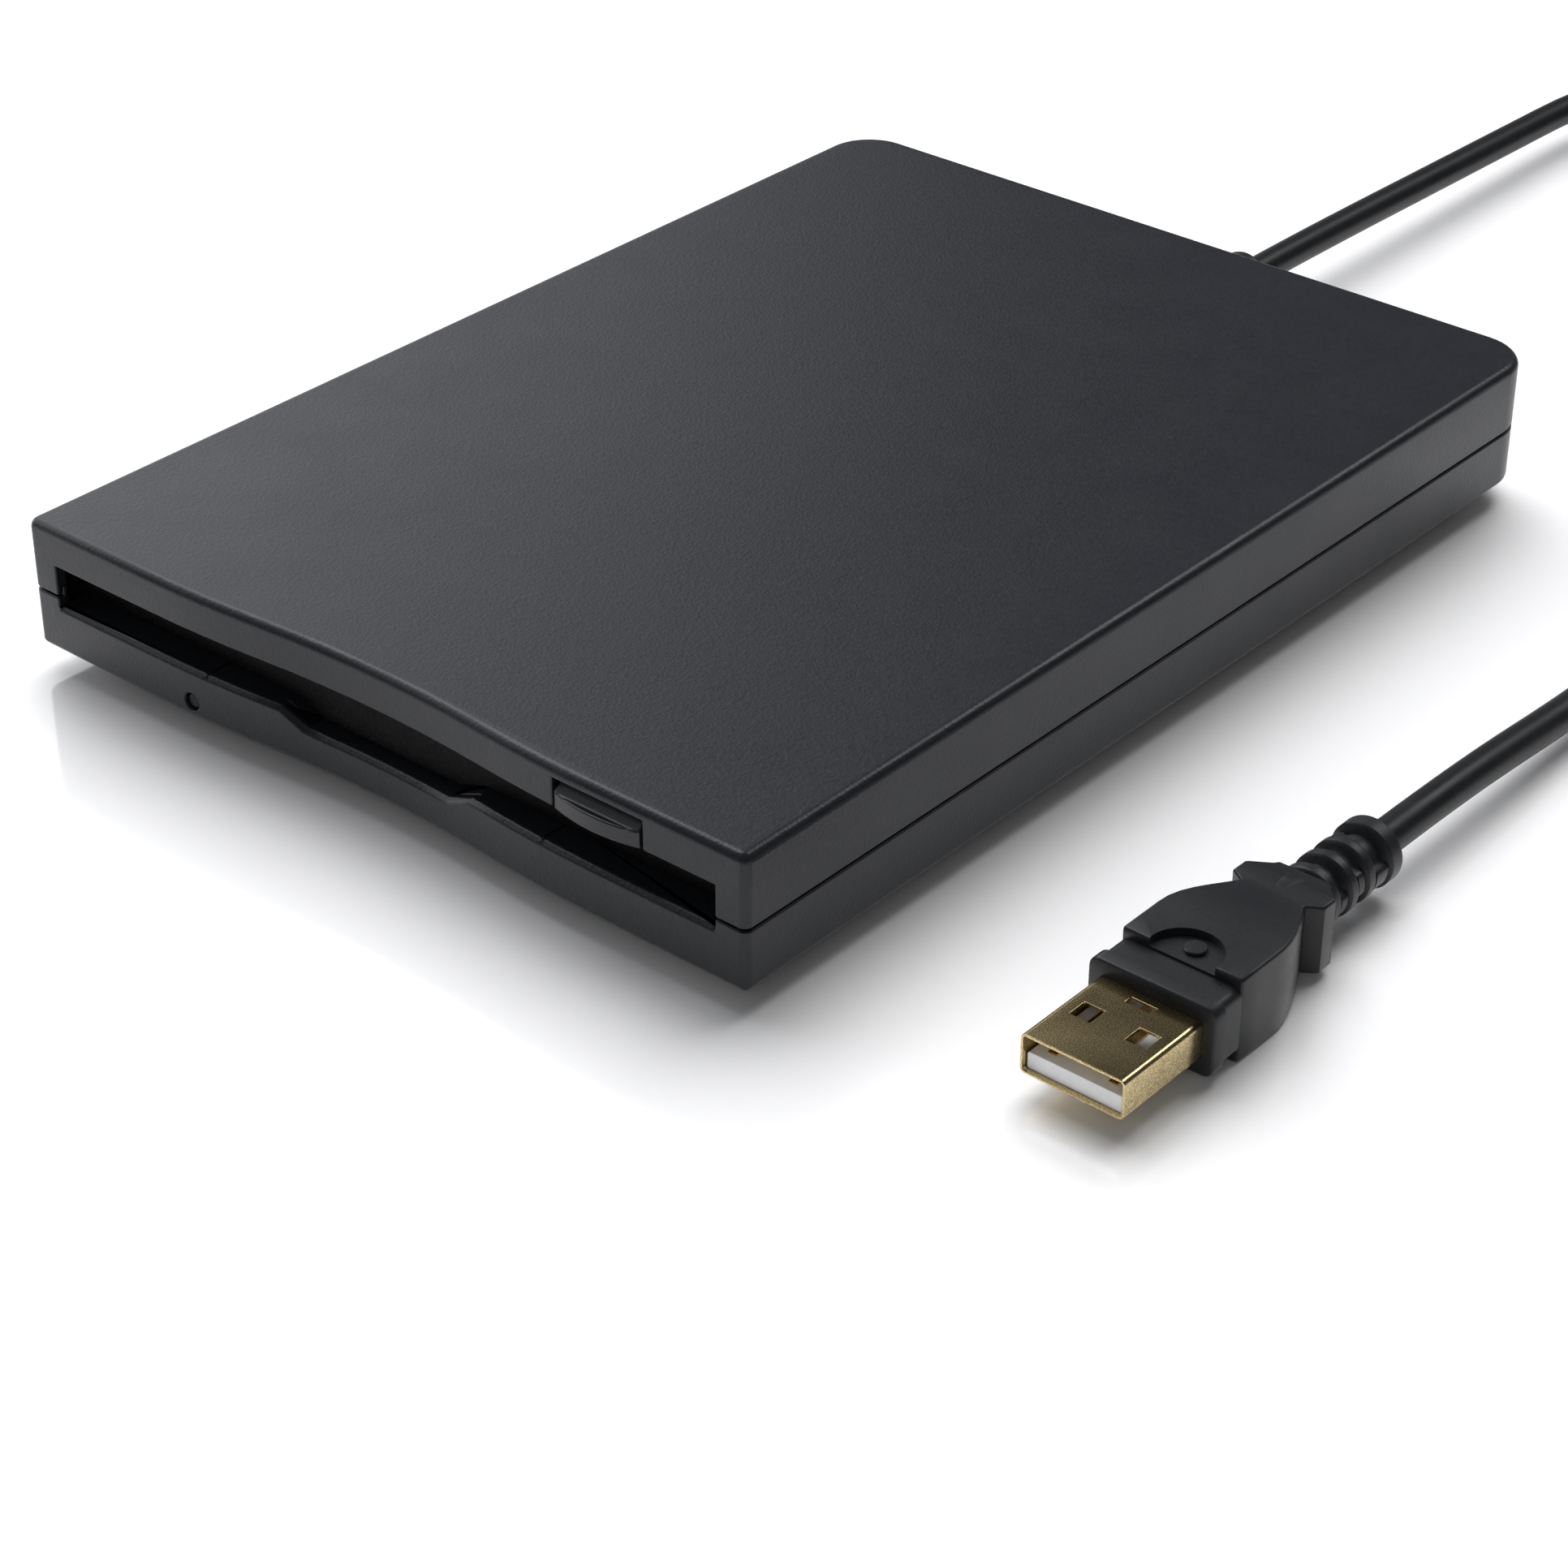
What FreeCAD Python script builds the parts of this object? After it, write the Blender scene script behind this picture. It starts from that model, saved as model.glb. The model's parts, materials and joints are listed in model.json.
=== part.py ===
# External floppy disk drive with its cord and plug. Lengths are in millimetres.
# The origin is on the floor under the middle of the case: X to the right, Y to the back, Z up.
import FreeCAD, Part
import math
import os
import re
import Sketcher
from FreeCAD import Placement, Rotation, Vector

SIZES = {
    # case, heights counted from its underside
    "case_width": 104,
    "case_depth": 144,
    "case_height": 16.2,
    "lower_height": 7.6,
    "foot_height": 2.4,
    "foot_radius": 4.5,
    "wall": 1.5,
    "parting_gap": 0.25,
    "lip_step": 0.8,
    "lip_height": 1,
    "top_round": 1.1,
    "bottom_bevel": 0.9,
    "front_round": 1,
    "back_round": 6.5,
    "wave_half": 32,
    "wave_depth": 1.5,
    # slot, finger notch, lamp and button on the front
    "slot_half": 48,
    "slot_low": 6.5,
    "slot_high": 11.4,
    "notch_half": 10.4,
    "notch_ramp": 3.6,
    "notch_low": 4.95,
    "lamp_side": 27,
    "lamp_height": 2.36,
    "lamp_radius": 0.95,
    "button_side": 32.7,
    "button_width": 11.4,
    "button_play": 0.3,
    "button_stand": 0.8,
    "button_low": 11.38,
    "button_high": 13.3,
    # door behind the slot
    "door_back": 3.7,
    "door_thick": 0.8,
    "door_axis": 11.9,
    "door_play": 0.15,
    "door_pin": 0.5,
    # drive unit, heights counted from the floor
    "unit_half": 48,
    "unit_front": 61,
    "unit_back": 60,
    "unit_low": 4.4,
    "unit_high": 16.4,
    "sheet_metal": 0.8,
    "side_metal": 0.7,
    "thin_metal": 0.5,
    "cover_metal": 0.4,
    "disk_half": 45.5,
    "bay_low": 9.2,
    "bay_high": 13.5,
    "bay_front": 60.8,
    "bay_back": 29.5,
    "lip_width": 7.5,
    "load_drop": 2.5,
    "load_stroke": 5,
    "slide_low": 14.7,
    "pin_radius": 0.75,
    "pin_height": 12,
    "pin_front": 45,
    "pin_back": 12,
    "spindle_back": 18,
    "rotor_radius": 15,
    "shaft_radius": 1.5,
    "screw_side": 24,
    "screw_height": 9,
    "screw_radius": 1.5,
    "screw_front": 29.8,
    "motor_front": 51.8,
    "motor_radius": 3.7,
    "rod_side": 16,
    "rod_height": 7,
    "rod_radius": 1.25,
    "head_back": 21.6,
    "carriage_front": 46,
    "carriage_back": 53.5,
    "arm_half": 5.3,
    "arm_low": 15.1,
    "arm_axis_back": 51,
    "arm_axis_height": 13,
    "fit": 0.05,
    # cord and plug, heights counted from the floor
    "cord_radius": 2,
    "exit_height": 7,
    "relief_length": 15.6,
    "relief_ring": 3.75,
    "plug_side": 85.2,
    "plug_tip": 64,
    "plug_height": 4.9,
    "shell_width": 12,
    "shell_thick": 4.5,
    "shell_metal": 0.3,
    "body_width": 14,
    "coil_side": 50,
    "coil_back": 188,
    "coil_low": 2.85,
    "coil_radius": 25.5,
    "coil_pitch": 4.6,
    "tie_metal": 0.8,
    "tie_width": 5,
}

doc = FreeCAD.newDocument("floppy_drive")
sheet = doc.addObject("Spreadsheet::Sheet", "sizes")
for row, (name, number) in enumerate(SIZES.items(), 1):
    sheet.set("A%d" % row, name)
    sheet.set("B%d" % row, str(number))
    sheet.setAlias("B%d" % row, name)
doc.recompute()

# places worked out from the sizes; each is an expression over the sheet
FRONT = "(button_stand/2 - case_depth/2)"
BACK = "(button_stand/2 + case_depth/2)"
UNDER = "foot_height"
TOP = "(foot_height + case_height)"
PARTING = "(foot_height + lower_height)"
SLOT_LOW = "(foot_height + slot_low)"
SLOT_HIGH = "(foot_height + slot_high)"
FLOOR = "(foot_height + wall)"
ROOF = "(foot_height + case_height - wall)"
SIDE = "(case_width/2)"
WAVE_RADIUS = "((wave_half*wave_half + wave_depth*wave_depth)/(4*wave_depth))"
FOOT_SPOTS = [(x, y) for x in ("-43", "43") for y in ("-60", "56")]
FRONT_SCREW_SPOTS = [("-34", "-54"), ("34", "-54")]
REAR_SCREW_SPOTS = [("-42", "65.5"), ("42", "65.5")]
UNIT_SCREW_SPOTS = [("-44", "44"), ("44", "44")]
WORDS = re.compile(r"[a-z]+(?:_[a-z]+)*")
pieces = []


def bound(text):
    """An expression with the sheet's name in front of every size."""
    return WORDS.sub(lambda m: "sizes." + m.group(0) if m.group(0) in SIZES else m.group(0), text)


def value(text):
    """The number that an expression gives."""
    return float(sheet.evalExpression(bound(text)))


def piece(label, x="0", y="0", z="0"):
    """A new sub-part with its own place."""
    body = doc.addObject("PartDesign::Body", label)
    body.Label = label
    for axis, text in zip("xyz", (x, y, z)):
        body.setExpression("Placement.Base." + axis, bound(text))
    pieces.append(body)
    return body


def box(x0, y0, x1, y1):
    """A rectangular outline between two corners."""
    return [(x0, y0), (x1, y0), (x1, y1), (x0, y1)]


def disc(x, y, radius):
    """A round outline."""
    return (x, y, radius)


def rounded(x0, y0, x1, y1, radius):
    """A rectangle with round corners, anticlockwise."""
    left, right = "(%s)+(%s)" % (x0, radius), "(%s)-(%s)" % (x1, radius)
    low, high = "(%s)+(%s)" % (y0, radius), "(%s)-(%s)" % (y1, radius)
    return [
        (left, y0), (right, y0, 1, radius), (x1, low), (x1, high, 1, radius),
        (right, y1), (left, y1, 1, radius), (x0, high), (x0, low, 1, radius),
    ]


def arc_between(start, end, turn, radius):
    """The shorter arc from start to end, turning left (1) or right (-1)."""
    chord = end - start
    half = chord.Length / 2
    rise = math.sqrt(max(0.0, radius * radius - half * half))
    left = Vector(-chord.y, chord.x, 0).normalize()
    centre = (start + end) * 0.5 + left * (rise * turn)
    first, last = (start, end) if turn > 0 else (end, start)
    angles = [math.atan2(p.y - centre.y, p.x - centre.x) for p in (first, last)]
    return Part.ArcOfCircle(Part.Circle(centre, Vector(0, 0, 1), radius), angles[0], angles[1])


def draw_disc(sketch, x, y, radius):
    """A circle held by its centre and radius."""
    index = sketch.GeometryCount
    sketch.addGeometry(Part.Circle(Vector(value(x), value(y), 0), Vector(0, 0, 1), value(radius)), False)
    first = sketch.ConstraintCount
    sketch.addConstraint([
        Sketcher.Constraint("DistanceX", -1, 1, index, 3, value(x)),
        Sketcher.Constraint("DistanceY", -1, 1, index, 3, value(y)),
        Sketcher.Constraint("Radius", index, value(radius)),
    ])
    for step, text in enumerate((x, y, radius)):
        sketch.setExpression("Constraints[%d]" % (first + step), bound(text))


def draw_outline(sketch, points):
    """Lines and arcs through points; an arc leaves a point given as (x, y, turn, radius)."""
    first = sketch.GeometryCount
    spots = [Vector(value(p[0]), value(p[1]), 0) for p in points]
    count = len(points)
    shapes, ends = [], []
    for i, point in enumerate(points):
        start, end = spots[i], spots[(i + 1) % count]
        if len(point) == 4:
            shapes.append(arc_between(start, end, point[2], value(point[3])))
            ends.append((1, 2) if point[2] > 0 else (2, 1))
        else:
            shapes.append(Part.LineSegment(start, end))
            ends.append((1, 2))
    sketch.addGeometry(shapes, False)
    rules, texts = [], []
    for i, point in enumerate(points):
        after = (i + 1) % count
        rules.append(Sketcher.Constraint("Coincident", first + i, ends[i][1], first + after, ends[after][0]))
        texts.append(None)
        for name, text, number in (("DistanceX", point[0], spots[i].x), ("DistanceY", point[1], spots[i].y)):
            rules.append(Sketcher.Constraint(name, -1, 1, first + i, ends[i][0], number))
            texts.append(text)
        if len(point) == 4 and (spots[after] - spots[i]).Length > 1.999 * value(point[3]):
            rules.append(Sketcher.Constraint("Symmetric", first + i, 1, first + i, 2, first + i, 3))
            texts.append(None)
        elif len(point) == 4:
            rules.append(Sketcher.Constraint("Radius", first + i, value(point[3])))
            texts.append(point[3])
    start = sketch.ConstraintCount
    sketch.addConstraint(rules)
    for step, text in enumerate(texts):
        if text is not None:
            sketch.setExpression("Constraints[%d]" % (start + step), bound(text))


def draw(body, plane, at, loops):
    """A sketch on a plane of the body, at a coordinate along that plane's axis."""
    sketch = body.newObject("Sketcher::SketchObject", "Sketch")
    support = next(f for f in body.Origin.OriginFeatures if f.Role == plane + "_Plane")
    sketch.AttachmentSupport = [(support, "")]
    sketch.MapMode = "FlatFace"
    sign = "-" if plane == "XZ" else ""
    sketch.setExpression("AttachmentOffset.Base.z", bound("%s(%s)" % (sign, at)))
    for loop in loops:
        if isinstance(loop, tuple):
            draw_disc(sketch, *loop)
        else:
            draw_outline(sketch, loop)
    return sketch


def pad(body, plane, start, end, *loops):
    """Material between two coordinates along the plane's axis."""
    feature = body.newObject("PartDesign::Pad", "Pad")
    feature.Profile = (draw(body, plane, start, loops), [""])
    feature.setExpression("Length", bound("(%s) - (%s)" % (end, start)))
    feature.Reversed = plane == "XZ"
    doc.recompute()
    return feature


def cut(body, plane, start, end, *loops):
    """A pocket between two coordinates along the plane's axis."""
    before = body.Shape.Volume
    feature = body.newObject("PartDesign::Pocket", "Pocket")
    feature.Profile = (draw(body, plane, start, loops), [""])
    feature.setExpression("Length", bound("(%s) - (%s)" % (end, start)))
    feature.Reversed = plane != "XZ"
    doc.recompute()
    if body.Shape.Volume > before - 1e-4:
        raise RuntimeError("nothing cut from " + body.Label)
    return feature


def revolve(body, plane, axis, *loops):
    """A turned form around the H or V axis of its sketch."""
    sketch = draw(body, plane, "0", loops)
    feature = body.newObject("PartDesign::Revolution", "Revolution")
    feature.Profile = (sketch, [""])
    feature.ReferenceAxis = (sketch, [axis + "_Axis"])
    feature.Angle = 360
    doc.recompute()
    return feature


def dress(body, kind, size, chosen):
    """A Fillet or Chamfer on the edges for which chosen(edge's box) is true."""
    base = body.Tip
    names = ["Edge%d" % (i + 1) for i, e in enumerate(base.Shape.Edges) if chosen(e.BoundBox)]
    if not names:
        raise RuntimeError("no edge to dress on " + body.Label)
    feature = body.newObject("PartDesign::" + kind, kind)
    feature.Base = (base, names)
    feature.setExpression("Radius" if kind == "Fillet" else "Size", bound(size))
    doc.recompute()
    return feature


def level(height):
    """Picks the edges that lie at one height."""
    z = value(height)
    return lambda b: abs(b.ZMin - z) < 1e-4 and abs(b.ZMax - z) < 1e-4


def along(axis, least):
    """Picks the straight edges that run along an axis and are at least so long."""
    def chosen(b):
        spans = {"x": b.XLength, "y": b.YLength, "z": b.ZLength}
        run = spans.pop(axis)
        return run >= least and max(spans.values()) < 1e-4
    return chosen


def at_spots(spots, radius):
    """One round outline at each spot."""
    return [disc(x, y, radius) for x, y in spots]


def case_outline(inset, front_round):
    """The case in plan, set in from its outside: a waved front and round back corners."""
    side, front, back = SIDE + "-" + inset, FRONT + "+" + inset, BACK + "-" + inset
    turn_x = "(wave_half/2 + %s*wave_half/(2*%s))" % (inset, WAVE_RADIUS)
    turn_y = "%s + wave_depth/2 + %s*(1 - wave_depth/(2*%s))" % (FRONT, inset, WAVE_RADIUS)
    outer_arc, inner_arc = "%s - %s" % (WAVE_RADIUS, inset), "%s + %s" % (WAVE_RADIUS, inset)
    round_back = "(back_round - %s)" % inset
    wave = [
        ("-wave_half", front, 1, outer_arc), ("-" + turn_x, turn_y, -1, inner_arc),
        (turn_x, turn_y, 1, outer_arc), ("wave_half", front),
    ]
    rear = [
        (side, "%s - %s" % (back, round_back), 1, round_back), (side + "-" + round_back, back),
        ("-(%s) + %s" % (side, round_back), back, 1, round_back),
        ("-(%s)" % side, "%s - %s" % (back, round_back)),
    ]
    if not front_round:
        return wave + [(side, front)] + rear + [("-(%s)" % side, front)]
    right = [("%s - %s" % (side, front_round), front, 1, front_round), (side, "%s + %s" % (front, front_round))]
    left = [("-(%s)" % side, "%s + %s" % (front, front_round), 1, front_round),
            ("-(%s) + %s" % (side, front_round), front)]
    return wave + right + rear + left


def notch_outline(low, half, ramp, high):
    """The finger notch seen from the front: flat bottom and two ramps."""
    wide = "(%s + %s)" % (half, ramp)
    return [("-" + half, low), (half, low), (wide, high), ("-" + wide, high)]


# upper half of the case
def make_top_cover():
    body = piece("top_cover")
    low = PARTING + " + parting_gap/2"
    pad(body, "XY", low, TOP, case_outline("0", "front_round"))
    dress(body, "Fillet", "top_round", level(TOP))
    cut(body, "XY", low, ROOF, case_outline("wall", None))
    cut(body, "XY", low, PARTING + " + lip_height", case_outline("(lip_step - fit)", None))
    cut(body, "XZ", FRONT + " - 1", FRONT + " + wave_depth + wall + 0.5",
        box("-slot_half", PARTING, "slot_half", SLOT_HIGH))
    left = "button_side - button_width/2 - button_play"
    right = "button_side + button_width/2 + button_play"
    cut(body, "XZ", FRONT + " - 1", FRONT + " + wall + 0.4",
        box(left, SLOT_HIGH + " - 0.2", right, ROOF + " + 0.05"))
    pad(body, "XY", "7", ROOF + " + 0.2", *at_spots(REAR_SCREW_SPOTS, "2.6"))
    cut(body, "XY", "6.9", "12", *at_spots(REAR_SCREW_SPOTS, "0.9"))
    ears = [box("slot_half + 0.3", FRONT + " + wall", "%s - 1" % SIDE, "%s + 6.5" % FRONT),
            box("-(%s) + 1" % SIDE, FRONT + " + wall", "-slot_half - 0.3", "%s + 6.5" % FRONT)]
    pad(body, "XY", "foot_height + door_axis - 2.5", ROOF + " + 0.2", *ears)
    axis_y = FRONT + " + door_back + door_thick/2"
    cut(body, "YZ", "-slot_half - 2.2", "slot_half + 2.2",
        disc(axis_y, "foot_height + door_axis", "door_pin + fit"))
    stops = [box("40", FRONT + " + wall - 0.1", "47", FRONT + " + door_back - 0.3"),
             box("-47", FRONT + " + wall - 0.1", "-40", FRONT + " + door_back - 0.3")]
    pad(body, "XY", SLOT_HIGH, "foot_height + door_axis + 1.2", *stops)


# lower half of the case
def make_bottom_case():
    body = piece("bottom_case")
    high = PARTING + " - parting_gap/2"
    pad(body, "XY", UNDER, high, case_outline("0", "front_round"))
    dress(body, "Chamfer", "bottom_bevel", level(UNDER))
    pad(body, "XY", high + " - 0.5", PARTING + " + lip_height", case_outline("lip_step", None))
    cut(body, "XY", FLOOR, PARTING + " + lip_height", case_outline("wall", None))
    ledge_back = FRONT + " + door_back + door_thick + 0.3"
    pad(body, "XY", SLOT_LOW + " - 2.5", SLOT_LOW,
        box("-slot_half", FRONT + " + wall + wave_depth - 0.2", "slot_half", ledge_back))
    ledge_fill = [box("-slot_half", FRONT + " + 1", "-wave_half", FRONT + " + wall + wave_depth"),
                  box("wave_half", FRONT + " + 1", "slot_half", FRONT + " + wall + wave_depth"),
                  box("-wave_half", FRONT + " + wave_depth + 1", "wave_half", FRONT + " + wall + wave_depth")]
    for outline in ledge_fill:
        pad(body, "XY", SLOT_LOW + " - 2.5", SLOT_LOW, outline)
    cut(body, "XZ", FRONT + " - 1", ledge_back + " + 0.2",
        box("-slot_half", SLOT_LOW, "slot_half", PARTING + " + lip_height + 0.2"))
    cut(body, "XZ", FRONT + " - 1", ledge_back + " + 0.2",
        notch_outline("foot_height + notch_low", "notch_half", "notch_ramp", SLOT_LOW + " + 0.01"))
    cut(body, "XZ", FRONT + " - 1", FRONT + " + 5.1",
        disc("-lamp_side", "foot_height + lamp_height", "lamp_radius + fit"))
    neck = "2.75"
    cut(body, "XZ", BACK + " - 4", BACK + " + 1",
        [("-" + neck, "exit_height", 1, neck), (neck, "exit_height"),
         (neck, PARTING + " + lip_height + 0.2"), ("-" + neck, PARTING + " + lip_height + 0.2")])
    bosses = at_spots(FRONT_SCREW_SPOTS, "2.6") + at_spots(UNIT_SCREW_SPOTS, "2.6")
    pad(body, "XY", FLOOR + " - 0.2", "unit_low", *bosses)
    pad(body, "XY", FLOOR + " - 0.2", "7", *at_spots(REAR_SCREW_SPOTS, "2.6"))
    pillars = [box("%s" % x, "62.6", "%s + 2" % x, "66.6") for x in ("-30", "28")]
    pad(body, "XY", FLOOR + " - 0.2", "6", *pillars)
    cut(body, "XY", UNDER + " - 0.1", UNDER + " + 0.6", *at_spots(FOOT_SPOTS, "foot_radius + fit"))
    screws = FRONT_SCREW_SPOTS + REAR_SCREW_SPOTS
    cut(body, "XY", UNDER + " - 0.1", UNDER + " + 1", *at_spots(screws, "2.3"))
    cut(body, "XY", UNDER, "8", *at_spots(screws, "1.1"))
    cut(body, "XY", UNDER + " + 0.8", "unit_low + 0.1", *at_spots(UNIT_SCREW_SPOTS, "0.9"))


def make_feet():
    body = piece("rubber_feet")
    pad(body, "XY", "0", UNDER + " + 0.6", *at_spots(FOOT_SPOTS, "foot_radius"))
    dress(body, "Chamfer", "0.5", level("0"))


def make_screws(label, spots, head_low, head_high, tip):
    """Recessed pan heads with a cross, tip up or down."""
    body = piece(label)
    low, high = sorted((head_low, head_high), key=value)
    pad(body, "XY", low, high, *at_spots(spots, "1.9"))
    ends = (high, tip) if value(tip) > value(high) else (tip, low)
    pad(body, "XY", ends[0], ends[1], *at_spots(spots, "0.88"))
    face = (low, low + " + 0.5") if value(tip) > value(high) else (high + " - 0.5", high)
    cross = []
    for x, y in spots:
        arm, edge = "1.1", "0.2"
        right = [("(%s)+%s" % (x, a), "(%s)-%s" % (y, b)) for a, b in ((edge, arm), (edge, edge), (arm, edge))]
        upper = [("(%s)+%s" % (x, a), "(%s)+%s" % (y, b)) for a, b in ((arm, edge), (edge, edge), (edge, arm))]
        left = [("(%s)-%s" % (x, a), "(%s)+%s" % (y, b)) for a, b in ((edge, arm), (edge, edge), (arm, edge))]
        lower = [("(%s)-%s" % (x, a), "(%s)-%s" % (y, b)) for a, b in ((arm, edge), (edge, edge), (edge, arm))]
        cross.append(right + upper + left + lower)
    cut(body, "XY", face[0], face[1], *cross)


def make_lamp():
    body = piece("led_lens")
    front = FRONT + " + 0.25 + 0.15"
    pad(body, "XZ", front, FRONT + " + 5", disc("-lamp_side", "foot_height + lamp_height", "lamp_radius"))
    dress(body, "Fillet", "0.3", lambda b: b.YMax < value(front) + 1e-3)
    board = piece("lamp_board")
    pad(board, "XY", FLOOR, FLOOR + " + 0.6", box("-32", "-66.3", "-22", "-62.5"))
    pad(board, "XY", FLOOR + " + 0.6", "6", box("-28.5", "-66.3", "-25.5", "-64.5"))


def make_door():
    """The flap: a plate with a tongue for the finger notch, on two pins near its top."""
    body = piece("slot_door")
    front = FRONT + " + door_back"
    back = front + " + door_thick"
    low = SLOT_LOW + " + door_play"
    tongue = "foot_height + notch_low + 0.3"
    high = "foot_height + door_axis"
    side = "(slot_half - 0.3)"
    half, wide = "(notch_half - 0.3)", "(notch_half + notch_ramp - 0.35)"
    pad(body, "XZ", front, back, [
        ("-" + half, tongue), (half, tongue), (wide, low), (side, low),
        (side, high), ("-" + side, high), ("-" + side, low), ("-" + wide, low)])
    axis_y = FRONT + " + door_back + door_thick/2"
    knuckle = disc(axis_y, "foot_height + door_axis", "0.65")
    pad(body, "YZ", "-" + side, side, knuckle)
    pin = disc(axis_y, "foot_height + door_axis", "door_pin")
    pad(body, "YZ", "-slot_half - 2", "slot_half + 2", pin)


def make_button():
    """The eject button: bowed face, sloping top, and a stem that reaches the slide plate."""
    body = piece("eject_button")
    left, right = "(button_side - button_width/2)", "(button_side + button_width/2)"
    bow = "((button_width*button_width/4 + button_stand*button_stand)/(2*button_stand))"
    pad(body, "XY", "foot_height + button_low", ROOF + " - 0.2",
        [(left, FRONT, 1, bow), (right, FRONT), (right, FRONT + " + 2.4"), (left, FRONT + " + 2.4")])
    face_high = "foot_height + button_high"
    cut(body, "YZ", left + " - 1", right + " + 1",
        [(FRONT + " - button_stand - 1", face_high), (FRONT + " - 0.1", face_high),
         (FRONT + " + 1.5", ROOF), (FRONT + " - button_stand - 1", ROOF)])
    pad(body, "XY", "slide_low + thin_metal", "slide_low + thin_metal + 1",
        box("button_side - 3.7", FRONT + " + 2.2", "button_side + 3.7", "-58.5"))
    pad(body, "XY", "slide_low", "slide_low + thin_metal + 0.2", disc("button_side", "-59.9", "1.1"))


def make_slide_plate():
    """A flat plate with two side flanges; slanting slots in the flanges lower the disk holder."""
    body = piece("slide_plate")
    high = "slide_low + thin_metal"
    side = "(disk_half + 1.5)"
    back = "27"
    pad(body, "XY", "slide_low", high, [
        ("-" + side, "-56"), ("-40", "-61.3"), ("40", "-61.3"), (side, "-56"), (side, back), ("9", back),
        ("9", "1.5"), ("-9", "1.5"), ("-9", back), ("-" + side, back)])
    flanges = [box(side + " - thin_metal", "-56", side, back), box("-" + side, "-56", "-" + side + " + thin_metal", back)]
    pad(body, "XY", "8.2", "slide_low + 0.1", *flanges)
    slots = []
    run, drop = "load_stroke", "load_drop"
    length = "sqrt(load_stroke*load_stroke + load_drop*load_drop)"
    play = "(pin_radius + fit)"
    over_y = "%s*%s/%s" % (play, drop, length)
    over_z = "%s*%s/%s" % (play, run, length)
    for start in ("-pin_front", "pin_back"):
        high_y, low_y = start, "(%s + %s)" % (start, run)
        high_z, low_z = "pin_height", "(pin_height - %s)" % drop
        slots.append([
            ("%s + %s" % (high_y, over_y), "%s + %s" % (high_z, over_z), 1, play),
            ("%s - %s" % (high_y, over_y), "%s - %s" % (high_z, over_z)),
            ("%s - %s" % (low_y, over_y), "%s - %s" % (low_z, over_z), 1, play),
            ("%s + %s" % (low_y, over_y), "%s + %s" % (low_z, over_z))])
    cut(body, "YZ", "-%s - 1" % side, side + " + 1", *slots)
    cut(body, "XY", "slide_low", high, disc("button_side", "-59.9", "1.13"))
    cut(body, "XY", "slide_low", high, rounded("-34", "-48", "-12", "-12", "3"),
        rounded("12", "-48", "34", "-12", "3"), rounded("16", "2", "38", "22", "3"))


def make_disk_holder():
    """The bay for the disk: roof, two sides and two lips under the disk's edges."""
    body = piece("disk_holder")
    outer = "(disk_half + thin_metal)"
    roof = "bay_high + thin_metal"
    pad(body, "XZ", "-bay_front", "bay_back", [
        ("-" + outer, "bay_low - thin_metal"), ("-(disk_half - lip_width)", "bay_low - thin_metal"),
        ("-(disk_half - lip_width)", "bay_low"), ("-disk_half", "bay_low"), ("-disk_half", "bay_high"),
        ("disk_half", "bay_high"), ("disk_half", "bay_low"), ("disk_half - lip_width", "bay_low"),
        ("disk_half - lip_width", "bay_low - thin_metal"), (outer, "bay_low - thin_metal"),
        (outer, roof), ("-" + outer, roof)])
    cut(body, "XY", "bay_high - 0.1", roof + " + 0.1",
        box("-9", "1.5", "9", "bay_back + 1"),
        rounded("-30", "-52", "30", "-40", "4"), rounded("-36", "-30", "-14", "10", "4"))
    cut(body, "XY", "bay_high - 0.1", roof + " + 0.1", lever_slot())
    stops = [box("24", "bay_back - thin_metal", "36", "bay_back"), box("-36", "bay_back - thin_metal", "-24", "bay_back")]
    pad(body, "XY", "bay_low + 0.5", "bay_high + 0.1", *stops)
    for y in ("-pin_front", "pin_back"):
        pin = disc(y, "pin_height", "pin_radius")
        pad(body, "YZ", "disk_half + 0.1", "unit_half", pin)
        pad(body, "YZ", "-unit_half", "-disk_half - 0.1", pin)


LEVER_PIVOT = ("38", "24")
LEVER_REACH = 28.0
LEVER_REST = 215.0
LEVER_END = 175.0


def lever_point(angle, reach):
    """A point at a reach and angle from the lever's pivot."""
    turn = math.radians(angle)
    return ("%s + %.4f" % (LEVER_PIVOT[0], reach * math.cos(turn)), "%s + %.4f" % (LEVER_PIVOT[1], reach * math.sin(turn)))


def lever_slot():
    """The curved slot that the lever's finger sweeps."""
    play = 1.35
    outer, inner = LEVER_REACH + play, LEVER_REACH - play
    spare = math.degrees(play / LEVER_REACH)
    start, end = LEVER_REST + spare, LEVER_END - spare
    return [lever_point(end, outer) + (1, "%.4f" % outer), lever_point(start, outer),
            lever_point(start, inner) + (-1, "%.4f" % inner), lever_point(end, inner)]


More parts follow.
